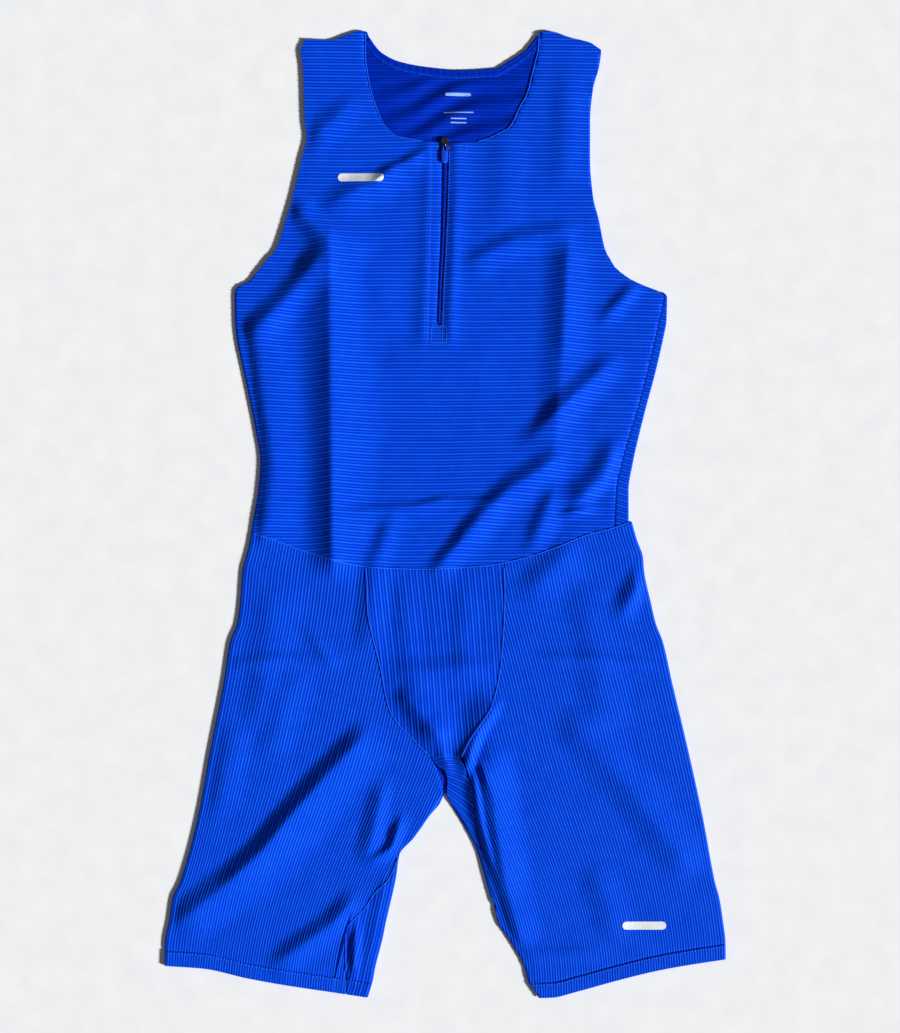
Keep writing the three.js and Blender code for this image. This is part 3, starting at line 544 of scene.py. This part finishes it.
def plain_knit_material(name, colours, per_metre, shift):
    """The same knit on the flat underside, with its cords drawn along straight lines as painted highlight
    and shade over a bump.
    """
    nodes = Nodes(name)
    place = nodes.place()
    line = nodes.add("ShaderNodeVectorMath", {0: place, 1: per_metre}, operation="DOT_PRODUCT")
    wander = nodes.maths("MULTIPLY_ADD", nodes.noise(place, 7.0, 1.0), 5.0, shift)
    turns = nodes.maths("ADD", line.outputs["Value"], wander)
    waves = []
    for speed, size in ((2.0, 0.42), (1.0, 0.14)):
        wave = nodes.maths("COSINE", nodes.maths("MULTIPLY", turns, 2 * math.pi * speed))
        waves.append(nodes.maths("MULTIPLY_ADD", wave, size, size))
    cords = nodes.maths("ADD", *waves)
    fine = cloth_shader(nodes, place, cords, colours, SHEEN)
    nodes.link(nodes.bump(cords, 0.9, 0.0005, Normal=fine), "Normal")
    return nodes.material


def thread_material(name, low, high, rough=0.6):
    """Twisted sewing thread or woven tape, or a folded seam edge drawn lighter as a painted highlight."""
    nodes = Nodes(name)
    twist = nodes.noise(nodes.place(), 1400.0, 2.0)
    nodes.link(nodes.ramp(twist, [(0.3, low), (0.7, high)]), "Base Color")
    nodes.link(nodes.bump(twist, 0.3, 0.0002), "Normal")
    nodes.set("Roughness", rough)
    nodes.set("Specular IOR Level", 0.2)
    nodes.set("Specular Tint", CLOTH_GLOSS)
    return nodes.material


def smooth_material(name, low, high, rough, metallic=0.0, tint=(255, 255, 255)):
    """Plated metal, moulded plastic or reflective film, with faint wear in its gloss."""
    nodes = Nodes(name)
    wear = nodes.noise(nodes.place(), 300.0, 4.0, 0.65)
    nodes.link(nodes.ramp(wear, [(0.35, low), (0.7, high)]), "Base Color")
    nodes.link(nodes.spread(wear, *rough), "Roughness")
    nodes.set("Metallic", metallic)
    nodes.set("Specular Tint", linear(tint))
    return nodes.material


# Knit colours from groove to crest: the groove's is painted shade and the crest's a painted highlight.
BLUE = ((0, 18, 132), (0, 54, 207), (20, 101, 252))
# The inside's colours are a darker copy of the knit's: painted shade for the hollow under the front.
INSIDE_BLUE_SHADED = ((0, 12, 110), (0, 38, 174), (0, 66, 216))
KNIT = knit_material("rib_knit", BLUE, SHEEN)
KNIT_INSIDE_SHADED = knit_material("rib_knit_inside", INSIDE_BLUE_SHADED, 0.06)
TORSO_BACK = plain_knit_material(
    "rib_knit_torso_back", BLUE, (0, -1000 / PITCH, 0), SHOULDER_Y / PITCH - 0.5)
LEG_BACK = {
    side: plain_knit_material(
        f"rib_knit_leg_back_{name}", BLUE, (1000 / LEG_PITCH, -side * 190 / LEG_PITCH, 0), 0.2)
    for side, (name, *_) in SIDES.items()
}
THREAD = thread_material("sewing_thread", (14, 88, 250), (74, 144, 255))
# Seam edges are folds of the knit drawn lighter than it: a painted highlight along the fold.
SEAM_EDGE_HIGHLIGHT = thread_material("seam_edge", (14, 88, 246), (52, 130, 255))
TAPE = thread_material("zip_tape", (0, 28, 160), (0, 46, 200), 0.75)
COIL = smooth_material("zip_coil", (0, 26, 140), (0, 48, 186), (0.4, 0.55), tint=(60, 130, 255))
METAL = smooth_material("slider_metal", (40, 42, 48), (150, 154, 162), (0.14, 0.3), 1.0)
PULL = smooth_material("pull_plastic", (10, 66, 224), (36, 100, 246), (0.3, 0.48), tint=(120, 180, 255))
REFLECTIVE = smooth_material("reflective_film", (226, 232, 238), (246, 249, 252), (0.3, 0.45))
INK = smooth_material("label_ink", (120, 160, 225), (150, 188, 240), (0.5, 0.65))


def finish_piece(piece, material, slot, *nodes, body="suit"):
    piece.data.materials.append(material)
    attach(piece, body)
    if nodes:
        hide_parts(*nodes)
    return piece


def front_torso():
    """The front torso, in two halves that meet below the zip."""
    downs = spaced(0, 540, STEP)
    slit = np.where(downs < ZIP_TOP, SLIT_TOP, slit_width(downs, 122) / 2)
    half = np.where(downs < SLIT_END, slit, 0)
    neck = np.minimum(neck_right(downs), -SLIT_TOP), np.maximum(neck_left(downs), SLIT_TOP)
    edge_right = np.where(downs < NECK_LOW, neck[0], zip_x(downs) - half)
    edge_left = np.where(downs < NECK_LOW + 0.4, neck[1], zip_x(downs) + half)
    grids = []
    for side in (-1, 1):
        if side < 0:
            lattice = merged(spaced(-216, 0, 4.4), spaced(-120, -107, 1.6), spaced(-24, 0, 2.2))
            low, high = torso_right(downs), edge_right
            border = low[:, None] + np.array([*EDGE_LINES, 3.0])
            x = np.hstack([border, np.clip(lattice, low[:, None] + 3, high[:, None])])
        else:
            lattice = merged(spaced(-8, 222, 4.4), spaced(105, 126, 2.2), spaced(-8, 18, 2.2))
            low, high = edge_left, torso_seam(downs) - GAP / 2
            x = np.clip(lattice, low[:, None], high[:, None])
        down = np.minimum(np.maximum(downs[:, None], shoulder(x)), waist(x) - GAP / 2)
        open_side = ease((down - 240) / 20)
        turned = mix(1, round_off(x - torso_right(down), EDGE_ROUND), open_side) if side < 0 else 1
        to_seam = np.minimum(waist(x) - down, np.where(down > 262, torso_seam(down) - x, FAR))
        neck_edge = np.where(downs < 111, high if side < 0 else low, FAR)[:, None]
        dip = seam_dip(to_seam) + seam_dip(np.abs(x - neck_edge), 0.7, 0.5)
        stitched = x - zip_x(down)
        dip += seam_dip(stitched + zip_stitch(down), 0.8, 0.4) * ease((312 - down) / 6) * (down > 113)
        lip = np.abs(stitched) - slit[:, None]
        dip += 0.8 * (1 - ease(lip / 2.8)) * ease((298 - down) / 4) * (down > 113)
        grids.append(front_shell(x, down, turned, torso_phase(x, down), dip=dip))
    piece = finish_piece(cloth("ribbed_front_torso", grids), KNIT, "rib_knit", "front_torso")


# Panels whose ribs run down: lines from where each rib enters the panel to where it leaves
def lined_panel(across, line_x, inside, downs, ends, spacing=3.8):
    """x and down for lines of ribs, each over its longest stretch inside the panel."""
    x = line_x(across[:, None], downs[None, :])
    depth = inside(x, np.broadcast_to(downs, x.shape))
    step = downs[1] - downs[0]
    lines = []
    for k in range(len(across)):
        hit = np.flatnonzero(depth[k] > 0)
        runs = np.split(hit, np.flatnonzero(np.diff(hit) > 1) + 1)
        run = max(runs, key=len)
        if len(run) < 3:
            continue
        first, last = run[0], run[-1]
        start, stop = downs[first], downs[last]
        if first > 0:
            start -= step * depth[k, first] / (depth[k, first] - depth[k, first - 1])
        if last + 1 < len(downs):
            stop += step * depth[k, last] / (depth[k, last] - depth[k, last + 1])
        lines.append((start, stop, across[k]))
    starts, stops, used = np.array(lines).T[:, :, None]
    scale = np.minimum(1, (stops - starts) / 60)
    top = starts + np.array([0, 0.4, 0.9, 1.6, 2.6]) * scale
    bottom = stops - np.array(ends) * scale
    rows = np.arange(starts.min(), stops.max(), spacing)
    middle = np.clip(rows, top[:, -1:], bottom[:, :1])
    down = np.hstack([top, middle, bottom])
    return line_x(used, down), down, used


def leg_lines(side):
    """x on a leg's rib line: along the outer edge there, and straighter towards the middle."""
    name, outer = SIDES[side][:2]
    straight = np.polynomial.Polynomial.fit(LEG["down"], LEG[name], 3)

    def line_x(across, down):
        edge = straight(down) + (outer(down) - straight(down)) * np.exp(-across / 30)
        wander = 1.1 * np.sin(down / 33 + across / 50) * ease(across / 30) * ease((690 - down) / 120)
        narrow = mix(1, LEG_PITCH_AT_HEM / LEG_PITCH, ease((down - 700) / 240))
        return edge - side * (across * narrow + wander)

    return line_x


# How far above the hem's edge the last points of a rib lie
HEM_ENDS = [18, 17, 16.4, 15.9, 15.5, 15.2, 14.9, 14.5, 13, 10, 7, 4, 1.8, 0.7, 0]


def hem_fold(to_hem):
    """The hem's step up to double cloth, with the groove that its stitching draws above it."""
    return 0.75 * ease((HEM + 0.3 - to_hem) / 0.6) - seam_dip(to_hem - HEM - 0.6, 0.9, 0.6)


def thigh_corner(across, reach):
    """The right leg's rib lines where they come back across the thigh seam above the hem."""
    line_x = leg_lines(-1)
    short = reach < 930
    short[np.argmax(short) - 1] = True
    across = across[short & (line_x(across, 965.0) < -99.3)]

    def inside(x, down):
        return np.minimum(thigh_seam(down) - GAP / 2 - x, hem_right(x) - down)

    x, down, kept = lined_panel(across, line_x, inside, spaced(900, 970, RUN), HEM_ENDS, 3)
    dip = seam_dip(thigh_seam(down) - x)
    return front_shell(x, down, 1, leg_phase(kept, x), hem_fold(hem_right(x) - down), dip, 0.95)


def leg_phase(lines, x):
    return (lines + 0 * x - 1.6 - LEG_PITCH / 2) / LEG_PITCH


def leg_front(side):
    name, _, _, inner, hem = SIDES[side]

    def inside(x, down):
        seam = (inner(down) - x) * -side - GAP / 2
        return np.minimum(np.minimum(down - waist(x) - GAP / 2, hem(x) - down), seam)

    across = np.r_[EDGE_LINES, spaced(3.0, 270, LEG_PITCH / 10)]
    x, down, used = lined_panel(across, leg_lines(side), inside, spaced(480, 970, RUN), HEM_ENDS)
    sewn = (down < CROTCH) | ((side < 0) & (down > THIGH_TOP + 2))
    to_seam = np.minimum(down - waist(x), np.where(sewn, np.abs(inner(down) - x), FAR))
    turned = round_off(inside_by(x, down), EDGE_ROUND)
    turned = np.maximum(np.where(sewn & (x * side < 150), 1, turned), THIN)
    hem_up = hem_fold(hem(x) - down)
    grids = [front_shell(x, down, turned, leg_phase(used, x), hem_up, seam_dip(to_seam), 0.95)]
    if side < 0:
        grids.append(thigh_corner(used[:, 0], down[:, -1]))
    piece = cloth(f"ribbed_front_leg_{name}", grids)
    finish_piece(piece, KNIT, "rib_knit", f"front_leg_{name}")


def pouch():
    def line_x(across, down):
        return -92 + across + 0.09 * (down - 600) + 0.7 * np.sin(down / 33 + across / 40)

    def inside(x, down):
        sides = np.minimum(x - pouch_right(down), pouch_left(down) - x) - GAP / 2
        return np.minimum(np.minimum(down - waist(x) - GAP / 2, 726.4 - down), sides)

    across = spaced(0, 170, LEG_PITCH / 10)
    ends = [2.6, 1.6, 0.9, 0.4, 0]
    x, down, used = lined_panel(across, line_x, inside, spaced(520, 730, RUN), ends, 3.4)
    sides = np.minimum(x - pouch_right(down), pouch_left(down) - x)
    to_seam = np.minimum(np.minimum(down - waist(x), sides), 727 - down)
    grid = front_shell(x, down, 1, (used + 0 * x) / LEG_PITCH, 0, seam_dip(to_seam), 0.8)
    piece = finish_piece(cloth("ribbed_pouch", [grid]), KNIT, "rib_knit", "front_pouch")


def gusset():
    """The crotch and the left inner thigh, with ribs from the free edge to the leg's seam."""
    lines, stations, ribs = 200, 22, 20
    steps = {**GUSSET, "step": np.linspace(0, 1, len(GUSSET["x"]))}
    t = np.linspace(0, 1, lines)[:, None]
    u = np.r_[0, 0.02, 0.05, 0.09, np.linspace(0.14, 0.96, stations), 1]
    free_x, free_down, end_down = (curve(t) for curve in curves(steps, "step", "x", "down", "endDown"))
    end_x = side_left(end_down)
    x = mix(free_x + GAP / 2, end_x - GAP / 2, u)
    bow = 4.5 * np.sin(np.pi * u) * ease(1 - t / 0.35)
    down = mix(free_down, end_down, u) - bow
    turned = np.maximum(round_off(x - inner_left(down), EDGE_ROUND), THIN)
    turned = np.where(down > CROTCH + 1, turned, 1)
    grid = front_shell(x, down, turned, ribs * t + 0 * x, dip=seam_dip((1 - u) * (end_x - free_x)))
    piece = finish_piece(cloth("ribbed_gusset", [grid]), KNIT, "rib_knit", "crotch_gusset")


def inner_thigh():
    def line_x(across, down):
        return inner_right(down) - across - 0.5 * np.sin(down / 21) * ease(across / 12)

    def inside(x, down):
        return np.minimum(np.minimum(x - thigh_seam(down) - GAP / 2, hem_right(x) - down), down - THIGH_TOP)

    across = np.r_[EDGE_LINES, spaced(3, 46, LEG_PITCH / 10)]
    x, down, used = lined_panel(across, line_x, inside, spaced(815, 970, RUN), HEM_ENDS)
    turned = np.maximum(round_off(inner_right(down) - x, EDGE_ROUND), THIN)
    phase = (used + 0 * x) / LEG_PITCH + 0.5
    dip = seam_dip(x - thigh_seam(down))
    grid = front_shell(x, down, turned, phase, hem_fold(hem_right(x) - down), dip, 0.8)
    piece = finish_piece(cloth("ribbed_inner_thigh", [grid]), KNIT, "rib_knit", "inner_thigh_right")


# The back panels: closed, flat underneath, with the inside of the back in soft waves
def back_waves(x, down):
    along = down - 62 + 0.3 * x + 8 * np.sin(x / 24 + 0.5)
    opening = np.minimum(x - neck_right(down), neck_left(down) - x)
    opening = ease((opening - 2) / 9) * ease((down - 44) / 12) * ease((112 - down) / 10)
    sag = 1.7 * np.sin(2 * np.pi * along / 26) * opening
    return sag * (0.7 + 0.3 * np.sin(x / 34 + 1))


def back_inside(x, down):
    return BACK + 1.5 + back_waves(x, down)


def back_torso():
    downs = np.r_[spaced(0, 124, STEP), spaced(128, 506, 6)]
    right = torso_right(downs) + 2 * ease((downs - 230) / 20)
    left = torso_left(downs) - 5 * ease((downs - 252) / 10)
    x = np.clip(spaced(-214, 222, 3.5), right[:, None], left[:, None])
    top = np.where((x > -77) & (x < 94), back_neck(x), shoulder(x))
    down = np.minimum(np.maximum(downs[:, None], top), waist(x) - GAP / 2)
    cord, painted_light_tone = rib(torso_phase(x, down))
    inside = ease((118 - down) / 6)
    height = BACK + inside * (0.5 * cord + 0.9 + back_waves(x, down)) * (down > top + 0.1)
    # Its cords' tone is dimmed: painted shade on the inside under the front.
    plate = (x, down, np.maximum(height, 0.6), 0.75 * painted_light_tone)
    stations = spaced(262, 499, STEP)[:, None]
    edge, seam = torso_left(stations), torso_seam(stations) + GAP / 2
    turn = np.linspace(0, np.pi, 10)
    flat = np.linspace(0, 1, 9)[:-1]
    radius = FRONT / 2
    x = np.hstack([mix(seam, edge - radius, flat), edge - radius + radius * np.sin(turn)])
    z = np.hstack([FRONT + 0 * flat * seam, radius + radius * np.cos(turn) + 0 * seam])
    slant = 0.35 * (edge - x)
    down = np.minimum(stations - slant, waist(np.minimum(x, 184)) - GAP / 2)
    cord, painted_light_tone = rib((down + 0.75 * slant - 3) / PITCH)
    on_top = np.clip(z / FRONT, 0, 1)
    strip = (x, down, np.maximum(z + cord * on_top - seam_dip(x - seam), 0.1), painted_light_tone)
    plate_piece = cloth("ribbed_back_torso", [plate], floor=True)
    strip_piece = cloth("ribbed_side_wrap", [strip], rim=0.3)
    finish_piece(plate_piece, KNIT_INSIDE_SHADED, "rib_knit_inside", "back_torso")
    under_with(plate_piece, TORSO_BACK)
    finish_piece(strip_piece, KNIT, "rib_knit", "back_torso")


def under_with(piece, material):
    """Gives the flat underside of a back panel its own material."""
    piece.data.materials.append(material)
    for face in piece.data.polygons:
        if face.normal.z < -0.9:
            face.material_index = 1


def back_leg(side):
    name, outer, inner, _, hem = SIDES[side]
    downs = spaced(488, 966, 5)
    far = (outer(downs) - side * 2.8)[:, None]
    near = np.where(downs < CROTCH, side * GAP / 2, inner(downs) + side * 1.4)[:, None]
    x = side * np.clip(spaced(0, 280, 6), np.abs(near), np.abs(far))
    down = np.minimum(np.maximum(downs[:, None], waist(x) + GAP / 2), hem(x) - 0.3)
    piece = cloth(f"ribbed_back_leg_{name}", [(x, down, BACK + 0 * x, 0.4 + 0 * x)], floor=True)
    finish_piece(piece, KNIT_INSIDE_SHADED, "rib_knit_inside", f"back_leg_{name}")
    under_with(piece, LEG_BACK[side])


def neck_band():
    x = spaced(-75.5, 92, 0.8)
    down = back_neck(x)
    along = headings(line_of(x, down))
    across = np.array([-0.9, -0.6, -0.1, 0.5, 1.2, 2.2, 2.8, 3.2, 3.8, 5, 6.2, 6.9, 7.3, 7.8, 8.3, 8.5])
    place_x = x[:, None] - along[:, 1:] * across
    place_down = down[:, None] + along[:, :1] * across
    crown = round_off(np.minimum(across + 0.9, 8.5 - across), 1.3)
    groove = seam_dip(across - 3, 0.45, 0.35) + seam_dip(across - 7, 0.4, 0.3)
    z = 0.4 + 2.5 * crown - groove + 0.12 * np.sin(x[:, None] / 1.1)
    # The band's tone drops along its stitched grooves: painted shade.
    grid = (place_x, place_down, z, 0.55 - 0.6 * groove + 0 * place_x)
    piece = cloth("bound_back_neck", [grid], rim=0.6)
    finish_piece(piece, KNIT_INSIDE_SHADED, "rib_knit_inside", "back_neck_band")


# Sewing: joined grains of thread along a line, and thin folded edges at the seams
def surface(x, down):
    return FRONT + lift(x, down) + 0.45


def resampled(points, step):
    length = np.r_[0, np.cumsum(np.linalg.norm(np.diff(points, axis=0), axis=1))]
    at = np.arange(step / 2, length[-1], step)
    return np.stack([np.interp(at, length, column) for column in points.T], -1)


def stitches(name, lines, long, step, thick, above, top=surface):
    """Grains of thread along lines of (x, down)."""
    ring = around(6)
    points, faces = [], []
    for line in lines:
        places = resampled(line, step)
        heights = top(*places.T) + above
        for (x, down), (hx, hd), z in zip(places, headings(places), heights):
            first = len(points)
            for at, wide in ((-0.36 * long, 0.8 * thick), (0.0, thick), (0.36 * long, 0.8 * thick)):
                for angle in ring:
                    out, up = wide * math.cos(angle), wide * math.sin(angle)
                    points.append(spot(x + hx * at - hd * out, down + hd * at + hx * out, z + up))
            for at in (-0.5 * long, 0.5 * long):
                points.append(spot(x + hx * at, down + hd * at, z - thick))
            faces += tube(first, 3, 6)
            for k in range(6):
                faces.append((first + 18, first + (k + 1) % 6, first + k))
                faces.append((first + 19, first + 12 + k, first + 12 + (k + 1) % 6))
    finish_piece(mesh_object(name, points, faces), THREAD, "rib_knit")


def edge_cord(name, lines, thick, above, material=SEAM_EDGE_HIGHLIGHT):
    """A thin folded edge along seams, as one mesh of tubes, by default lighter than the cloth as a painted
    highlight along the fold.
    """
    sides = 7
    ring = around(sides)
    points, faces = [], []
    for line in lines:
        places = resampled(line, 1.5)
        heights = surface(*places.T) + above
        first = len(points)
        for (x, down), (hx, hd), z in zip(places, headings(places), heights):
            for angle in ring:
                out, up = thick * math.cos(angle), thick * math.sin(angle)
                points.append(spot(x - hd * out, down + hx * out, z + up))
        faces += tube(first, len(places), sides)
        faces.append(tuple(range(first, first + sides)))
        faces.append(tuple(range(len(points) - 1, len(points) - 1 - sides, -1)))
    finish_piece(mesh_object(name, points, faces), material, "rib_knit")


def down_line(curve, start, end, step=2):
    downs = spaced(start, end, step)
    return line_of(curve(downs), downs)


def across_line(curve, start, end, shift=0):
    x = spaced(start, end, 2)
    return line_of(x, curve(x) + shift)


def sewing():
    edge_cord("waist_seam_edge", [across_line(waist, -191, 184)], 0.5, 0.4)
    pouch_sides = [down_line(edge, 536, 726) for edge in (pouch_right, pouch_left)]
    edge_cord("pouch_seam_edges", pouch_sides, 0.45, 0.5)
    # The side seam's edge is a dark cord sunk into the gap between front and wrap: painted shade in the
    # groove.
    edge_cord("side_seam_edge", [down_line(torso_seam, 268, 490)], 0.35, -0.7, TAPE)
    edge_cord("thigh_seam_edge", [down_line(thigh_seam, 826, 940)], 0.45, 0.45)
    necks = [down_line(edge, 2, 110.5, 1.5) for edge in (neck_right, neck_left)]
    edge_cord("front_neck_edge", necks, 0.4, -0.1)
    hems = [across_line(hem_right, -276, -80, 1.6 - HEM), across_line(hem_left, 86, 277, 1.6 - HEM)]
    stitches("hem_stitches", hems, long=2.6, step=3.6, thick=0.42, above=0.85)
    beside_zip = [
        down_line(lambda down: zip_x(down) - zip_stitch(down), 116, 314),
        down_line(lambda down: zip_x(down) + 4.6 - 0.6 * ease((down - 120) / 150), 116, 314),
    ]
    stitches("zip_stitches", beside_zip, long=2.1, step=2.9, thick=0.3, above=0.02)
    tacks = [line_of(spaced(zip_x(at) - 7, zip_x(at) + 8, 1), at) for at in (295.2, 296.2, 311.2, 312.2)]
    for shift, start, end in ((-7, 295, 312), (8, 295, 312), (15, 115, 124), (21, 115, 121)):
        tacks.append(down_line(lambda down: zip_x(down) + shift, start, end, 1))
    stitches("zip_bar_tacks", tacks, long=1.7, step=1.9, thick=0.3, above=0.05)
    band = [across_line(back_neck, -70, 86, 7.2)]
    stitches("neck_band_stitches", band, long=1.8, step=2.6, thick=0.26, above=0.05,
             top=lambda x, down: 2.75 + 0 * x)


# The zip
def zip_parts():
    downs = spaced(107, 305, 1.5)
    for side, (name, *_) in SIDES.items():
        x = zip_x(downs)[:, None] + side * np.array([0.15, 0.8, 1.6, 3, 6, 9, 11.6, 12])
        z = 2.3 + 0.12 * np.sin(downs[:, None] / 0.9) + 0 * x
        grid = (x, downs[:, None] + 0 * x, z, 0 * x)
        piece = cloth(f"woven_zip_tape_{name}", [grid], rim=0.7)
        finish_piece(piece, TAPE, "zip_tape", f"zip_tape_{name}")
    coil()


def coil():
    """The closed coil: a loop of filament from each side for every tooth, over a centre cord."""
    sides, loops, thick = 6, 9, 0.34
    points, faces = [], []
    for number, at in enumerate(np.arange(121.0, CHAIN_END, 1.15)):
        side = -1 if number % 2 else 1
        half = slit_width(at, 120) / 2 - 0.8
        turn = np.linspace(-0.15, 1.15, loops) * np.pi
        path_x = zip_x(at) + side * (half * (0.55 - 0.9 * np.sin(turn) ** 2) + 0.2)
        path_z = 3.1 + 0.62 * np.sin(turn)
        path_down = at + 0.28 * np.cos(turn)
        first = len(points)
        for x, down, z in zip(path_x, path_down, path_z):
            for angle in around(sides):
                points.append(spot(x, down + thick * math.cos(angle), z + thick * math.sin(angle)))
        faces += tube(first, loops, sides)
    downs = spaced(ZIP_TOP, CHAIN_END, 1.2)
    ridge = np.linspace(-1, 1, 9)
    faces += quads(len(points) + np.arange(len(downs) * len(ridge)).reshape(len(downs), -1)).tolist()
    for down, half in zip(downs, slit_width(downs, 120) / 2 - 0.5):
        points += [spot(zip_x(down) + r * half, down, 2.7 + 0.5 * (1 - r * r)) for r in ridge]
    finish_piece(mesh_object("zip_coil", points, faces), COIL, "zip_tape", "zip_chain")


def wall(bm, ring, other):
    """The faces between two rings of a bmesh's points."""
    for i in range(len(ring)):
        j = (i + 1) % len(ring)
        bm.faces.new((ring[i], ring[j], other[j], other[i]))


def extruded(bm, outline, low, high):
    """A plate over an outline of (x, down) in a bmesh."""
    lower, upper = ([bm.verts.new(spot(*at, z)) for at in outline] for z in (low, high))
    bm.faces.new(upper)
    bm.faces.new(lower[::-1])
    wall(bm, lower, upper)


def bevelled(name, build, width, material, slot, node, body="suit"):
    """A piece that build makes in a bmesh, with its edges rounded."""
    bm = bmesh.new()
    build(bm)
    bmesh.ops.recalc_face_normals(bm, faces=bm.faces)
    mesh = bpy.data.meshes.new(name)
    bm.to_mesh(mesh)
    bm.free()
    piece = placed(name, mesh)
    modifier = piece.modifiers.new("soft_edges", "BEVEL")
    modifier.width = width * MM
    modifier.segments = 3
    modifier.limit_method = "ANGLE"
    mesh.polygons.foreach_set("use_smooth", np.ones(len(mesh.polygons), bool))
    finish_piece(piece, material, slot, node, body=body)


def sweep(bm, path, wide, high):
    """A flat bar bent along a path of (down, z), as wide across x."""
    rings = []
    for (down, z), (hd, hz) in zip(path, headings(path)):
        ring = []
        for sx, sz in ((-1, -1), (1, -1), (1, 1), (-1, 1)):
            up = sz * high / 2
            ring.append(bm.verts.new(spot(sx * wide / 2, down - hz * up, z + hd * up)))
        rings.append(ring)
    for ring, following in zip(rings, rings[1:]):
        wall(bm, ring, following)
    bm.faces.new(rings[0][::-1])
    bm.faces.new(rings[-1])


# The slider's top edge, and the pull's axis
SLIDER_TOP, AXIS_DOWN, AXIS_Z = 107.0, 114.6, 5.7


def moved(outline, down, wide=1, long=1):
    return [(wide * x, down + long * y) for x, y in outline]


def slider():
    half = [(2.4, 0), (3.3, 1.2), (4, 3.9), (3.9, 7), (3.4, 13), (1.2, 13), (1.0, 12.2)]
    outline = [(-2.4, 0)] + half + [(-x, down) for x, down in half[:0:-1]]
    divider = [(-1, 4), (1, 4), (0.4, 6.6), (-0.4, 6.6)]
    flange = [(3.3, 5), (3.8, 5), (3.4, 12.8), (3.0, 12.8)]
    arch = [(2.9, 4.3), (2.9, 6.2), (3.3, 7.0), (4.2, 7.25), (7.6, 7.25), (8.5, 7.0), (9, 6.2), (9, 4.3)]

    def build(bm):
        extruded(bm, moved(outline, SLIDER_TOP), 2.6, 3.3)
        extruded(bm, moved(outline, SLIDER_TOP + 0.2, 0.94, 0.96), 3.9, 4.6)
        for block in (divider, moved(flange, 0, -1), flange):
            extruded(bm, moved(block, SLIDER_TOP), 3.2, 4.0)
        sweep(bm, [(SLIDER_TOP + down, z) for down, z in arch], 1.6, 0.9)

    bevelled("zip_slider_body", build, 0.2, METAL, "slider_metal", "zip_slider")


def pull():
    def build(bm):
        reach = SLIDER_TOP + 13.8 - AXIS_DOWN
        pin = [(AXIS_DOWN + 0.5 * math.cos(a), AXIS_Z + 0.5 * math.sin(a)) for a in around(14)]
        left, right = ([bm.verts.new(spot(x, *at)) for at in pin] for x in (-2.3, 2.3))
        bm.faces.new(left)
        bm.faces.new(right[::-1])
        wall(bm, right, left)
        arm = [(1.25, -0.4), (2.3, -0.4), (2.3, reach + 1), (1.25, reach + 1)]
        for side in (-1, 1):
            extruded(bm, moved(arm, AXIS_DOWN, side), AXIS_Z - 0.5, AXIS_Z + 0.5)
        top = AXIS_DOWN + reach
        turn = np.linspace(0, np.pi, 13)
        grip = [(-3.2, 0), (-2.4, -0.3), (2.4, -0.3), (3.2, 0), (3.2, 5)]
        grip += [(2.9 * math.cos(a), 9.4 + 2.9 * math.sin(a)) for a in turn]
        grip += [(-3.2, 5)]
        extruded(bm, moved(grip, top), AXIS_Z - 0.5, AXIS_Z + 1.3)
        extruded(bm, moved(grip, top + 1.4, 0.72, 0.76), AXIS_Z + 1.2, AXIS_Z + 1.42)

    bevelled("zip_pull_grip", build, 0.28, PULL, "pull_plastic", "zip_pull_tab", body="pull_tab")


# Plain bars where the cloth carries printed marks
def bar(name, centre, wide, high, material, slot, top, above):
    u, v = np.linspace(-1, 1, 60), np.linspace(-1, 1, 12)[:, None]
    corner = high / 2
    x = centre[0] + u * wide / 2 + 0 * v
    into = np.clip(np.abs(u) * wide / 2 - (wide / 2 - corner), 0, corner)
    half = np.sqrt(np.maximum(corner**2 - into**2, 0.01))
    down = centre[1] + v * half
    points = np.stack(spot(x, down, top(x, down) + above), -1).reshape(-1, 3)
    faces = quads(np.arange(x.size).reshape(x.shape)).tolist()
    finish_piece(mesh_object(name, points, faces), material, slot)


def marks():
    bar("reflective_bar_chest", (-84, 147), 46, 8, REFLECTIVE, "rib_knit", surface, 0.25)
    bar("reflective_bar_leg", (199, 894), 44, 8, REFLECTIVE, "rib_knit", surface, 0.25)
    bar("label_bar_wide", (13, 64), 26, 3, INK, "rib_knit_inside", back_inside, 0.3)
    for number, (down, wide) in enumerate(((82, 30), (88, 16), (92, 16))):
        bar(f"label_bar_{number}", (13.5, down), wide, 1.1, INK, "rib_knit_inside", back_inside, 0.3)


# The floor, the lights and the camera
def setting():
    reach = 6.0
    mesh = bpy.data.meshes.new("floor")
    corners = [(-reach, -reach, 0), (reach, -reach, 0), (reach, reach, 0), (-reach, reach, 0)]
    mesh.from_pydata(corners, [], [(0, 1, 2, 3)])
    nodes = Nodes("pale_floor")
    grain = nodes.noise(nodes.place(), 40.0, 3.0)
    colours = nodes.ramp(grain, [(0.3, (243, 244, 246)), (0.7, (249, 250, 251))])
    nodes.link(colours, "Base Color")
    nodes.set("Roughness", 0.9)
    mesh.materials.append(nodes.material)
    floor = placed("floor", mesh)

    sun = bpy.data.lights.new("key", "SUN")
    sun.energy = 5.6
    sun.angle = math.radians(9)
    placed("key", sun).rotation_euler = (math.radians(17), math.radians(61), 0)

    world = bpy.data.worlds.new("studio")
    world.use_nodes = True
    background = world.node_tree.nodes["Background"]
    background.inputs["Color"].default_value = (0.93, 0.96, 1.0, 1)
    background.inputs["Strength"].default_value = 0.11
    bpy.context.scene.world = world

    distance, tall = 2.6, 1.033
    camera = bpy.data.cameras.new("camera")
    camera.sensor_width = 36
    camera.lens = camera.sensor_width * distance / tall
    camera.clip_end = 50
    holder = placed("camera", camera)
    holder.location = (0.005, -0.002, distance)
    bpy.context.scene.camera = holder
    bpy.context.scene.view_settings.view_transform = "Standard"


setting()
back_torso()
for side in SIDES:
    back_leg(side)
neck_band()
front_torso()
for side in SIDES:
    leg_front(side)
pouch()
gusset()
inner_thigh()
sewing()
zip_parts()
slider()
pull()
marks()
